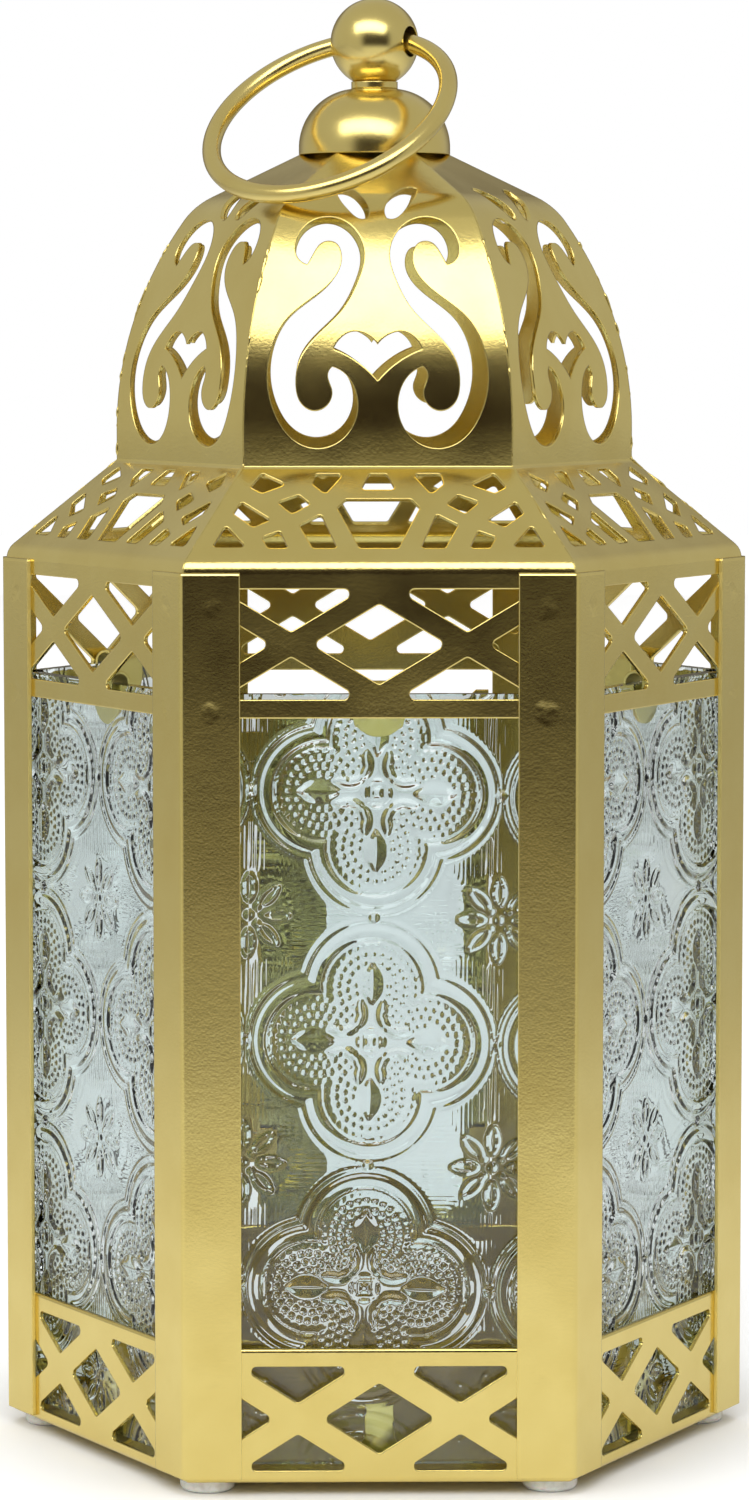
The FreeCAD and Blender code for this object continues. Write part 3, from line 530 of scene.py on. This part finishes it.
@dataclass(frozen=True)
class RubberFinish(Finish):
    """Soft pale rubber of the bumper feet."""

    colour: Colour
    dusty: Colour
    softness: float = 0.3
    soft_depth: float = 1.5 * MM
    dust: float = 700.0
    dust_span: Span = (0.45, 0.7)
    gloss_span: Span = (0.3, 0.7)
    roughness: Span = (0.35, 0.6)
    bump_depth: float = 0.05 * MM
    bump: float = 0.2

    def fill(self, tree: ShaderTree, shader: Node) -> None:
        """Wire dust and softness to the shader.

        Args:
            tree: the material's tree.
            shader: its Principled shader.
        """
        shader.inputs["Subsurface Weight"].default_value = self.softness
        shader.inputs["Subsurface Scale"].default_value = self.soft_depth
        dust = tree.noise(tree.place(), self.dust, detail=4.0)
        colour = tree.blend(tree.spread(dust, *self.dust_span), self.colour, self.dusty)
        tree.link(colour, shader.inputs["Base Color"])
        gloss = tree.spread(dust, *self.gloss_span, *self.roughness)
        tree.link(gloss, shader.inputs["Roughness"])
        tree.link(tree.bumped(dust, self.bump_depth, self.bump), shader.inputs["Normal"])


SHEET_GOLD = MetalFinish("satin_gold_sheet", light=(0.86, 0.70, 0.245), deep=(0.79, 0.62, 0.19),
                         smooth=0.13, rough=0.22)
POST_GOLD = replace(SHEET_GOLD, name="satin_gold_post", dimple_depth=0.032 * MM,
                    rolled_top=float(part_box("corner_post_front_left")[1][2]))
BASE_GOLD = replace(SHEET_GOLD, name="satin_gold_base", rolled_top=float(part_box("base_tray")[1][2]))
ROOF_GOLD = replace(SHEET_GOLD, name="satin_gold_roof", dent_depth=0.2 * MM, tucked_foot=DOME_FOOT)
CLIP_BRASS = MetalFinish("dull_brass_clip", light=(0.98, 0.84, 0.32), deep=(0.92, 0.78, 0.28),
                         smooth=0.32, rough=0.4, lean=math.radians(-9.0))
TURNED_GOLD = MetalFinish("smooth_gold_turned", light=(0.87, 0.71, 0.26), deep=(0.80, 0.63, 0.21),
                          smooth=0.19, rough=0.26, bump=0.06)
WIRE_GOLD = replace(TURNED_GOLD, name="smooth_gold_wire", deep=(0.79, 0.61, 0.2))
STEEL = MetalFinish("zinc_coated_steel", light=(0.62, 0.62, 0.60), deep=(0.45, 0.45, 0.44),
                    smooth=0.3, rough=0.45)
GLASS = GlassFinish("quatrefoil_glass", tint=(0.905, 0.967, 0.968), deep=(0.868, 0.952, 0.95))
RUBBER = RubberFinish("pale_bumper_rubber", colour=(0.80, 0.80, 0.77), dusty=(0.62, 0.61, 0.57))


# Pieces carried over from the frame


@dataclass
class Metalwork:
    """The pieces that stay as the frame gives them, with finishes by slot and by kind of piece."""

    finishes: dict[str, Finish] = field(default_factory=lambda: {
        "gold_sheet": SHEET_GOLD,
        "gold_turned": TURNED_GOLD,
        "gold_wire": WIRE_GOLD,
        "steel": STEEL,
        "clear_rubber": RUBBER,
        "pressed_glass": GLASS,
    })
    kinds: dict[str, Finish] = field(default_factory=lambda: {
        "corner_post": POST_GOLD,
        "base_tray": BASE_GOLD,
        "roof_segment": ROOF_GOLD,
        "top_clip": CLIP_BRASS,
        "bottom_clip": CLIP_BRASS,
    })

    def dress(self) -> None:
        """Give every node of the frame the finish of its kind, or else of its slot."""
        slots = {part["node"]: part["material_slot"] for part in frame["record"]["subparts"]}
        for name, node in frame["nodes"].items():
            special = [finish for kind, finish in self.kinds.items() if name.startswith(kind)]
            finish = special[0] if special else self.finishes[slots[name]]
            node.data.materials.clear()
            node.data.materials.append(finish.material())
            log.info("%s dressed in %s", name, finish.name)


# Shaping


def deselect_all() -> None:
    """Leave edit mode and select nothing."""
    if bpy.context.object and bpy.context.object.mode != "OBJECT":
        bpy.ops.object.mode_set(mode="OBJECT")
    bpy.ops.object.select_all(action="DESELECT")


def unit_grid(name: str, columns: int, rows: int) -> bpy.types.Object:
    """Add a flat square grid of side 1 about the origin.

    Args:
        name: the new piece's name.
        columns: cells along its first side.
        rows: cells along its second side.

    Returns:
        The grid, selected alone.
    """
    deselect_all()
    bpy.ops.mesh.primitive_grid_add(x_subdivisions=columns, y_subdivisions=rows, size=1.0)
    grid = bpy.context.object
    grid.name = name
    grid.data.name = name
    return grid


def read_points(mesh: bpy.types.Mesh) -> np.ndarray:
    """Return the places of a mesh's vertices, one to a row."""
    points = np.zeros(len(mesh.vertices) * 3)
    mesh.vertices.foreach_get("co", points)
    return points.reshape(-1, 3)


def move_points(mesh: bpy.types.Mesh, points: np.ndarray) -> None:
    """Move a mesh's vertices to new places, one to a row."""
    mesh.vertices.foreach_set("co", points.ravel())
    mesh.update()


def ridge(distance: np.ndarray, width: float) -> np.ndarray:
    """Return a rounded ridge of height 1 along the places where distance is 0."""
    return np.exp(-((distance / width) ** 2))


def ramp(value: np.ndarray, start: float, end: float) -> np.ndarray:
    """Return a smooth step from 0 at start to 1 at end."""
    step = np.clip((value - start) / (end - start), 0.0, 1.0)
    return step * step * (3.0 - 2.0 * step)


def mound(distance: np.ndarray, radius: float) -> np.ndarray:
    """Return a round mound of height 1 about the place where distance is 0."""
    return np.clip(1.0 - (distance / radius) ** 2, 0.0, 1.0)


# Solder on the roof


@dataclass
class RidgeSolder:
    """The uneven seams of solder along the ridges where the roof's petals meet."""

    low: float = 133.0 * MM
    high: float = 176.0 * MM
    step: float = 0.3 * MM
    aside: float = 0.25 * MM
    outside: float = 80.0 * MM
    thin: float = 0.09 * MM
    thick: float = 0.32 * MM
    lumps: Span = (0.4, 0.75)
    lump_run: int = 5
    sides: int = 10
    merge_gap: float = 0.001 * MM
    seed: int = 11

    def build(self) -> None:
        """Run a seam down each of the six ridges."""
        chance = np.random.default_rng(self.seed)
        for face in Face:
            self.seam(face, chance)

    def path(self, face: Face, away: Vector) -> np.ndarray:
        """Follow a ridge upwards.

        Args:
            face: the face at whose right side the ridge is.
            away: the level direction from the lantern's axis to the ridge.

        Returns:
            Points along the ridge.
        """
        petal = frame["nodes"]["roof_segment_" + face.word]
        toward = away.cross(UP) * self.aside
        points = []
        for height in np.arange(self.low, self.high, self.step):
            start = away * self.outside + toward + UP * height
            hit, place, _, _ = petal.ray_cast(start, -away)
            if hit:
                points.append(place - toward)
        return np.array(points)

    def seam(self, face: Face, chance: np.random.Generator) -> bpy.types.Object:
        """Model the seam at the right side of a face, a thin bead of uneven thickness.

        Args:
            face: the face at whose right side the seam runs.
            chance: source of the seam's lumps.

        Returns:
            The finished seam.
        """
        away = face.turn @ Vector((math.sin(SIXTH / 2), -math.cos(SIXTH / 2), 0.0))
        path = self.path(face, away)
        draws = chance.uniform(size=len(path) + self.lump_run - 1)
        uneven = np.convolve(draws, np.ones(self.lump_run) / self.lump_run, "valid")
        radii = self.thin + (self.thick - self.thin) * ramp(uneven, *self.lumps)
        seam = unit_grid("ridge_solder_" + face.word, len(path), self.sides)
        self.roll(seam.data, path, radii, np.array(away))
        bpy.ops.object.mode_set(mode="EDIT")
        bpy.ops.mesh.select_all(action="SELECT")
        bpy.ops.mesh.remove_doubles(threshold=self.merge_gap)
        bpy.ops.mesh.fill_holes(sides=0)
        bpy.ops.mesh.normals_make_consistent(inside=False)
        bpy.ops.object.mode_set(mode="OBJECT")
        bpy.ops.object.shade_smooth()
        seam.data.materials.append(SHEET_GOLD.material())
        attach(seam, Body.LANTERN.value)
        log.info("%s runs over %d points", seam.name, len(path))
        return seam

    def roll(self, mesh: bpy.types.Mesh, path: np.ndarray, radii: np.ndarray,
             away: np.ndarray) -> None:
        """Roll a flat grid into a bead along a path.

        Args:
            mesh: the unit grid.
            path: points along the bead's middle.
            radii: the bead's radius at each point.
            away: the direction that the bead faces.
        """
        points = read_points(mesh)
        along = (points[:, 0] + 0.5) * (len(path) - 1)
        turn = (points[:, 1] + 0.5) * 2 * np.pi
        run = np.gradient(path, axis=0)
        run /= np.linalg.norm(run, axis=1, keepdims=True)
        across = np.cross(run, away)
        across /= np.linalg.norm(across, axis=1, keepdims=True)
        outward = np.cross(across, run)
        stations = np.arange(len(path))
        place, side, out = (
            np.stack([np.interp(along, stations, axis) for axis in values.T], axis=1)
            for values in (path, across, outward))
        radius = np.interp(along, stations, radii)[:, None]
        around = np.cos(turn)[:, None] * side + np.sin(turn)[:, None] * out
        move_points(mesh, place + radius * around)


# Pressed glass


@dataclass(frozen=True)
class QuatrefoilRelief:
    """The repeating relief of the glass: dotted quatrefoils and rosettes, in millimetres."""

    pitch: float = 34.9
    lobe_distance: float = 7.53
    lobe_radius: float = 6.37
    line_width: float = 0.24
    line_height: float = 0.16
    band_rise: Span = (0.3, 0.85)
    band_fall: Span = (1.6, 2.75)
    band_height: float = 0.26
    rim_place: float = 3.2
    rim_width: float = 0.3
    rim_height: float = 0.17
    inside: Span = (0.2, 0.7)
    outside: Span = (3.5, 3.9)
    knot_radius: float = 0.8
    knot_height: float = 0.3
    dot_pitch: float = 1.2
    dot_edge: Span = (-0.2, 0.8)
    dot_height: float = 0.2
    petal_distance: float = 8.1
    petal_half_length: float = 3.0
    petal_half_width: float = 1.9
    petal_height: float = 0.4
    petal_margin: float = 0.35
    petal_ends: Span = (1.0, 1.12)
    boss_radius: float = 1.05
    boss_ring: float = 1.75
    boss_ring_width: float = 0.3
    boss_height: float = 0.28
    scroll_place: float = 3.9
    scroll_radius: float = 2.5
    scroll_width: float = 0.6
    scroll_height: float = 0.38
    scroll_ends: Span = (6.8, 7.8)
    cross_edge: float = 0.5
    cross_ends: Span = (5.4, 5.9)
    leaf_turn: float = math.pi / 4
    leaf_place: float = 3.9
    leaf_half_length: float = 2.0
    leaf_half_width: float = 0.72
    leaf_line: float = 0.2
    leaf_height: float = 0.16
    heart_wave: float = 2.4
    heart_edge: Span = (0.0, 0.8)
    heart_ends: Span = (1.6, 2.0)
    heart_height: float = 0.16
    hatch_pitch: float = 0.62
    hatch_start: Span = (6.3, 6.9)
    hatch_height: float = 0.022

    def height(self, across: np.ndarray, up: np.ndarray) -> np.ndarray:
        """Work out the relief.

        Args:
            across: places across the pane, from a quatrefoil's middle.
            up: places up the pane, from the same middle.

        Returns:
            The height of the relief at each place.
        """
        u = np.abs(across - self.pitch * np.round(across / self.pitch))
        v = np.abs(up - self.pitch * np.round(up / self.pitch))
        along = np.maximum(u, v)
        beside = np.minimum(u, v)
        edge = np.hypot(along - self.lobe_distance, beside) - self.lobe_radius
        knot = self.knot_height * mound(np.hypot(along - self.pitch / 2, beside), self.knot_radius)
        within = ramp(-edge, *self.inside) * self.inner(along, beside)
        between = ramp(edge, *self.outside) * self.ground(u - self.pitch / 2, v - self.pitch / 2)
        return self.outline(edge) + knot + within + between

    def outline(self, edge: np.ndarray) -> np.ndarray:
        """Return the quatrefoil's moulded outline, from the distance outside its inner line."""
        line = self.line_height * ridge(edge, self.line_width)
        band = self.band_height * ramp(edge, *self.band_rise) * (1.0 - ramp(edge, *self.band_fall))
        rim = self.rim_height * ridge(edge - self.rim_place, self.rim_width)
        return line + band + rim

    def inner(self, along: np.ndarray, beside: np.ndarray) -> np.ndarray:
        """Work out the dots, petals, scrolls and middle boss inside a quatrefoil.

        Args:
            along: distances along the nearest arm, from the middle.
            beside: distances beside that arm.

        Returns:
            Their height at each place.
        """
        radius = np.hypot(along, beside)
        boss = mound(radius, self.boss_radius) + ridge(radius - self.boss_ring, self.boss_ring_width)
        span = (along - self.petal_distance) / self.petal_half_length
        room = mound(span, 1.0)
        half_width = np.maximum(self.petal_half_width * room, TINY)
        petal = np.clip(1.0 - beside / half_width, 0.0, 1.0) * (room > 0)
        from_scroll = np.hypot(along - self.scroll_place, beside - self.scroll_place)
        curl = ridge(from_scroll - self.scroll_radius, self.scroll_width)
        scroll = curl * (1.0 - ramp(along + beside, *self.scroll_ends))
        cross = ramp(from_scroll, self.scroll_radius - self.cross_edge, self.scroll_radius)
        cross = cross * (1.0 - ramp(along, *self.cross_ends))
        about_petal = 1.0 - ramp(np.abs(span), *self.petal_ends)
        clear = np.maximum(about_petal * (beside < half_width + self.petal_margin), cross)
        return (self.dots(along, beside) * (1.0 - clear) + self.petal_height * petal
                + self.boss_height * boss + self.scroll_height * scroll)

    def dots(self, along: np.ndarray, beside: np.ndarray) -> np.ndarray:
        """Work out the dots that stand in rings about a lobe's middle.

        Args:
            along: distances along the lobe's arm, from the quatrefoil's middle.
            beside: distances beside that arm.

        Returns:
            Their height at each place.
        """
        radius = np.hypot(along - self.lobe_distance, beside) / self.dot_pitch
        ring = np.round(radius)
        count = np.maximum(np.round(2 * np.pi * ring), 1.0)
        turn = np.arctan2(beside, along - self.lobe_distance)
        across = ramp(np.cos(2 * np.pi * (radius - ring)), *self.dot_edge)
        return self.dot_height * across * ramp(np.cos(count * turn), *self.dot_edge)

    def ground(self, x: np.ndarray, y: np.ndarray) -> np.ndarray:
        """Work out the rosette and hatching between four quatrefoils.

        Args:
            x: places across, from the rosette's middle.
            y: places up, from the same middle.

        Returns:
            Their height at each place.
        """
        radius = np.hypot(x, y)
        turns = np.arctan2(y, x) / self.leaf_turn
        aside = np.abs(radius * np.sin((turns - np.round(turns)) * self.leaf_turn))
        span = (radius - self.leaf_place) / self.leaf_half_length
        leaf_edge = self.leaf_half_width * mound(span, 1.0)
        leaf = ridge(aside - leaf_edge, self.leaf_line) * (np.abs(span) < 1.0)
        wave = np.cos(self.heart_wave * x) * np.cos(self.heart_wave * y)
        heart = ramp(wave, *self.heart_edge) * (1.0 - ramp(radius, *self.heart_ends))
        line_place = np.where(np.abs(x) > np.abs(y), y, x)
        lines = np.cos(2 * np.pi * line_place / self.hatch_pitch)
        hatch = lines * ramp(radius, *self.hatch_start)
        return self.leaf_height * leaf + self.heart_height * heart + self.hatch_height * hatch


@dataclass
class PressedPane:
    """One pane of pressed glass, with its relief on the outer side."""

    node: str
    body: Body
    turn: Matrix
    low: np.ndarray
    high: np.ndarray
    pattern_x: float
    pattern_z: float
    pattern_tilt: float = 0.0
    cut_corner: float = 0.0
    step: float = 0.25 * MM
    relief: QuatrefoilRelief = QuatrefoilRelief()
    relief_depth: float = 0.4 * MM
    seat_gap: float = 0.04 * MM
    smooth_angle: float = math.radians(35.0)

    def build(self) -> bpy.types.Object:
        """Model the pane as a grid with the relief, closed by its edges and a flat back.

        Returns:
            The finished pane.
        """
        width, _, height = self.high - self.low
        columns = round(width / self.step)
        rows = round(height / self.step)
        pane = unit_grid("pressed_" + self.node, columns, rows)
        self.press(pane.data)
        self.close(pane)
        pane.data.transform(self.turn)
        bpy.ops.object.shade_smooth_by_angle(angle=self.smooth_angle)
        pane.data.materials.append(GLASS.material())
        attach(pane, self.body.value)
        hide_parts(self.node)
        log.info("%s pressed with %d faces", pane.name, len(pane.data.polygons))
        return pane

    def press(self, mesh: bpy.types.Mesh) -> None:
        """Stand the flat grid up at the pane's outer face and press the relief into it.

        Args:
            mesh: the unit grid.
        """
        points = read_points(mesh)
        middle = (self.low + self.high) / 2
        width, _, height = self.high - self.low
        across = points[:, 0] * width
        up = middle[2] + points[:, 1] * height
        cosine = math.cos(self.pattern_tilt)
        sine = math.sin(self.pattern_tilt)
        x = (across - self.pattern_x) / MM
        z = (up - self.pattern_z) / MM
        relief = self.relief.height(x * cosine + z * sine, z * cosine - x * sine) * MM
        depth = self.seat_gap + np.clip(self.relief_depth - relief, 0.0, self.relief_depth * 2)
        move_points(mesh, np.stack([middle[0] + across, self.low[1] + depth, up], axis=1))

    def close(self, pane: bpy.types.Object) -> None:
        """Cut the upper corners where the pane has cut ones, then draw the rim back and fill it.

        Args:
            pane: the standing relief.
        """
        bpy.ops.object.mode_set(mode="EDIT")
        if self.cut_corner:
            for side, end in ((-1.0, self.low[0]), (1.0, self.high[0])):
                corner = (end - side * self.cut_corner, 0.0, self.high[2])
                slant = (side, 0.0, 1.0)
                bpy.ops.mesh.select_all(action="SELECT")
                bpy.ops.mesh.bisect(plane_co=corner, plane_no=slant, clear_outer=True)
        bpy.ops.mesh.select_mode(type="EDGE")
        bpy.ops.mesh.select_all(action="DESELECT")
        bpy.ops.mesh.select_non_manifold(extend=False, use_wire=False, use_multi_face=False,
                                         use_non_contiguous=False, use_verts=False)
        bpy.ops.mesh.extrude_edges_move()
        bpy.ops.object.mode_set(mode="OBJECT")
        for vertex in pane.data.vertices:
            if vertex.select:
                vertex.co.y = self.high[1] - self.seat_gap
        bpy.ops.object.mode_set(mode="EDIT")
        bpy.ops.mesh.edge_face_add()
        bpy.ops.mesh.select_all(action="SELECT")
        bpy.ops.mesh.normals_make_consistent(inside=False)
        bpy.ops.object.mode_set(mode="OBJECT")


@dataclass
class Glazing:
    """All panes of the lantern, each shifted half a quatrefoil from its neighbours."""

    front_pattern: Span = (-1.2 * MM, 64.2 * MM)
    front_tilt: float = math.radians(-1.45)
    half_pitch: float = QuatrefoilRelief.pitch / 2 * MM
    corner_cut: float = 2.0 * MM

    def build(self) -> None:
        """Build the five fixed panes, and then the door's pane."""
        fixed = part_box("glass_pane_front")
        for face in Face:
            if face is not Face.REAR:
                tilt = self.front_tilt if face is Face.FRONT else 0.0
                self.pane(face, "glass_pane_" + face.word, Body.LANTERN, fixed, pattern_tilt=tilt)
        low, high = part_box("door_pane")
        turned = ((-high[0], -high[1], low[2]), (-low[0], -low[1], high[2]))
        self.pane(Face.REAR, "door_pane", Body.DOOR, turned, cut_corner=self.corner_cut)

    def pane(self, face: Face, node: str, body: Body, box: Sequence[Sequence[float]],
             **shape: float) -> None:
        """Build one pane.

        Args:
            face: the face that it closes.
            node: the solid that it replaces.
            body: the body that carries it.
            box: its low and high corner, turned to the front.
            shape: its tilt or cut corners.
        """
        across, up = self.front_pattern
        low, high = (np.array(corner) for corner in box)
        PressedPane(node, body, face.turn, low, high, across + face.value * self.half_pitch, up,
                    **shape).build()


# Studio


@dataclass
class PortraitCamera:
    """The camera at the photograph's viewing angle, its lens and sensor in millimetres."""

    name: str = "portrait_camera"
    distance: float = 714.1 * MM
    height: float = 164.6 * MM
    turn: float = math.radians(-0.825)
    tilt: float = math.radians(5.087)
    lens: float = 116.02
    sensor: float = 36.0

    def build(self) -> None:
        """Make the camera and look through it."""
        camera = bpy.data.cameras.new(self.name)
        camera.lens = self.lens
        camera.sensor_width = self.sensor
        camera.sensor_fit = "AUTO"
        item = bpy.data.objects.new(self.name, camera)
        bpy.context.scene.collection.objects.link(item)
        stand = Matrix.Translation((0.0, -self.distance, self.height))
        look = Matrix.Rotation(math.radians(90.0) - self.tilt, 4, "X")
        item.matrix_world = Matrix.Rotation(self.turn, 4, "Z") @ stand @ look
        bpy.context.scene.camera = item


@dataclass
class SoftBox:
    """A rectangular soft light that faces the lantern."""

    name: str
    place: Triple
    width: float
    height: float
    power: float
    mirrored: bool = True
    aim: Triple = (0.0, 0.0, 0.17)

    def build(self) -> None:
        """Hang the light."""
        light = bpy.data.lights.new(self.name, "AREA")
        light.shape = "RECTANGLE"
        light.size = self.width
        light.size_y = self.height
        light.energy = self.power
        item = bpy.data.objects.new(self.name, light)
        bpy.context.scene.collection.objects.link(item)
        item.location = self.place
        item.visible_glossy = self.mirrored
        toward = Vector(self.aim) - Vector(self.place)
        item.rotation_euler = toward.to_track_quat("-Z", "Y").to_euler()


FRONT_LIGHT = SoftBox("front_softbox", place=(-0.27, -1.02, 1.09), width=2.2, height=0.72, power=15.0)
TOP_LIGHT = SoftBox("ceiling_softbox", place=(0.0, 0.0, 1.95), width=3.4, height=3.4, power=15.0,
                    mirrored=False)


@dataclass(frozen=True)
class TableFinish(Finish):
    """A pale table top, white where it is seen and darkest close to what stands on it."""

    colour: Colour = (0.9, 0.9, 0.9)
    roughness: float = 0.7
    lift: Span = (0.35, 0.5)
    glow: float = 0.06
    # Painted shade: the table's tone as metal mirrors it, pale close to the lantern and grey far out
    mirrored: Span = (0.84, 0.45)
    fade: Span = (0.12, 0.55)
    shadow_reach: float = 30.0 * MM
    shadow_edge: Span = (0.4, 0.98)
    shadow_samples: int = 8

    def fill(self, tree: ShaderTree, shader: Node) -> None:
        """Wire the lift, the contact shadow and the painted shade of the table seen in metal to the
        shader.

        Args:
            tree: the material's tree.
            shader: its Principled shader.
        """
        shader.inputs["Roughness"].default_value = self.roughness
        shader.inputs["Emission Color"].default_value = (*WHITE, 1.0)
        rays = tree.add("ShaderNodeLightPath")
        reach = tree.length(tree.place())
        near = tree.add("ShaderNodeAmbientOcclusion", samples=self.shadow_samples,
                        Distance=self.shadow_reach)
        seen_lift = tree.spread(reach, *self.fade, *self.lift)
        lift = tree.spread(rays.outputs["Is Camera Ray"], 0.0, 1.0, self.glow, seen_lift)
        open_sky = tree.spread(near.outputs["AO"], *self.shadow_edge)
        tree.link(tree.math("MULTIPLY", lift, open_sky), shader.inputs["Emission Strength"])
        # Painted shade seen in metal: the table darkens from pale close to the lantern to grey far
        # out
        close, far = ((tone, tone, tone) for tone in self.mirrored)
        mirrored = tree.blend(tree.spread(reach, *self.fade), close, far)
        bounces = tree.spread(rays.outputs["Glossy Depth"], 0.0, 1.0)
        tree.link(tree.blend(bounces, self.colour, mirrored), shader.inputs["Base Color"])


@dataclass
class Table:
    """The table top, which reaches far behind the lantern and ends in front of it."""

    front: float = 0.36
    reach: float = 3.0
    finish: TableFinish = TableFinish("pale_table")

    def build(self) -> None:
        """Lay the table top."""
        deselect_all()
        bpy.ops.mesh.primitive_plane_add(size=1.0)
        table = bpy.context.object
        table.name = "table_top"
        stretch = Matrix.Diagonal((self.reach * 2, self.front + self.reach, 1.0, 1.0))
        middle = Matrix.Translation((0.0, (self.reach - self.front) / 2, 0.0))
        table.data.transform(middle @ stretch)
        table.data.materials.append(self.finish.material())


@dataclass
class StudioWall:
    """A round room about the lantern that is never seen directly, its patches by turn and height.

    Metal mirrors it as a grey room with a dark patch in front and a fainter one behind. Through glass
    it is white, with dark cards between the straight lines of sight that draw the relief's edges.
    """

    radius: float = 2.2
    top: float = 2.6
    sides: int = 96
    grey: Colour = (0.5, 0.5, 0.485)
    front_shade: Colour = (0.015, 0.009, 0.006)
    front_turn: float = 0.05
    front_edge: Span = (0.5, 0.75)
    rear_shade: Colour = (0.17, 0.15, 0.11)
    rear_edge: Span = (0.35, 0.8)
    patch_top: Span = (1.05, 1.4)
    floor_grey: Colour = (0.8, 0.8, 0.78)
    floor_rise: Span = (-0.1, -0.44)
    card_shade: Colour = (0.13, 0.12, 0.085)
    card_count: int = 8
    card_edge: Span = (-0.1, -0.6)
    dusk: Colour = (0.62, 0.64, 0.58)
    dusk_start: Span = (math.pi - 0.035, math.pi - 0.065)
    dusk_end: Span = (math.pi - 0.5, math.pi - 0.4)
    upward_grey: Colour = (0.3, 0.29, 0.25)
    upward_edge: Span = (0.3, 0.8)

    def build(self) -> None:
        """Stand the wall up and give it its glow."""
        deselect_all()
        bpy.ops.mesh.primitive_cylinder_add(vertices=self.sides, radius=self.radius,
                                            depth=self.top * 2, end_fill_type="NGON",
                                            location=(0.0, 0.0, 0.0))
        wall = bpy.context.object
        wall.name = "studio_wall"
        material = bpy.data.materials.new("studio_wall_shade")
        material.use_nodes = True
        nodes = material.node_tree.nodes
        nodes.remove(nodes["Principled BSDF"])
        tree = ShaderTree(material.node_tree)
        x, y, height = tree.split(tree.place())
        turn = tree.math("ARCTAN2", x, tree.math("MULTIPLY", y, -1.0))
        bounces = tree.add("ShaderNodeLightPath").outputs["Glossy Depth"]
        through = self.through(tree, turn, height)
        mirrored = self.mirrored(tree, turn, height)
        glow = tree.add("ShaderNodeEmission", Strength=1.0)
        tree.link(tree.blend(tree.spread(bounces, 0.0, 1.0), through, mirrored), glow.inputs["Color"])
        tree.link(glow.outputs["Emission"], nodes["Material Output"].inputs["Surface"])
        wall.data.materials.append(material)
        wall.visible_camera = False
        wall.visible_diffuse = False
        wall.visible_shadow = False
        wall.visible_volume_scatter = False

    def mirrored(self, tree: ShaderTree, turn: Socket, height: Socket) -> Socket:
        """Work out the room that metal mirrors.

        Args:
            tree: the wall's tree.
            turn: the direction's turn from straight in front.
            height: the height on the wall.

        Returns:
            The room's colour.
        """
        from_rear = tree.math("SUBTRACT", math.pi, tree.math("ABSOLUTE", turn))
        from_front = tree.math("ABSOLUTE", tree.math("SUBTRACT", turn, self.front_turn))
        patches = ((from_rear, self.rear_edge, self.rear_shade),
                   (from_front, self.front_edge, self.front_shade))
        floor = tree.spread(height, *self.floor_rise)
        below_top = tree.spread(height, *self.patch_top, 1.0, 0.0)
        room = self.grey
        for aside, edge, shade in patches:
            mask = tree.math("MULTIPLY", tree.spread(aside, *edge, 1.0, 0.0), below_top)
            room = tree.blend(mask, room, tree.blend(floor, shade, self.floor_grey))
        return room

    def through(self, tree: ShaderTree, turn: Socket, height: Socket) -> Socket:
        """Work out the room that shows through glass.

        Args:
            tree: the wall's tree.
            turn: the direction's turn from straight in front.
            height: the height on the wall.

        Returns:
            The room's colour.
        """
        start = tree.spread(turn, *self.dusk_start)
        dim = tree.math("MULTIPLY", start, tree.spread(turn, *self.dusk_end))
        wave = tree.math("COSINE", tree.math("MULTIPLY", turn, float(self.card_count)))
        cards = tree.spread(wave, *self.card_edge)
        level = tree.blend(cards, tree.blend(dim, WHITE, self.dusk), self.card_shade)
        return tree.blend(tree.spread(height, *self.upward_edge), level, self.upward_grey)


@dataclass
class Studio:
    """A pale table in front of a white background, with soft lights and a room for reflections."""

    sky: float = 0.45

    def build(self) -> None:
        """Set up the table, the room, the background, the lights and the camera."""
        bpy.context.scene.view_settings.view_transform = "Standard"
        Table().build()
        StudioWall().build()
        self.background()
        FRONT_LIGHT.build()
        TOP_LIGHT.build()
        PortraitCamera().build()

    def background(self) -> None:
        """Make the background white where it is seen, mirrored or seen through glass."""
        world = bpy.data.worlds.new("white_background")
        bpy.context.scene.world = world
        world.use_nodes = True
        tree = ShaderTree(world.node_tree)
        rays = tree.add("ShaderNodeLightPath").outputs
        seen = tree.math("MAXIMUM", rays["Is Camera Ray"], rays["Is Transmission Ray"])
        shown = tree.math("MAXIMUM", seen, rays["Is Glossy Ray"])
        back = world.node_tree.nodes["Background"]
        back.inputs["Color"].default_value = (*WHITE, 1.0)
        tree.link(tree.spread(shown, 0.0, 1.0, self.sky, 1.0), back.inputs["Strength"])


def main() -> None:
    """Dress the lantern, build its solder and glass, and set up the studio."""
    logging.basicConfig(level=logging.INFO, format="%(message)s")
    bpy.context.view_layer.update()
    Metalwork().dress()
    RidgeSolder().build()
    Glazing().build()
    Studio().build()


if __name__ == "__main__":
    main()
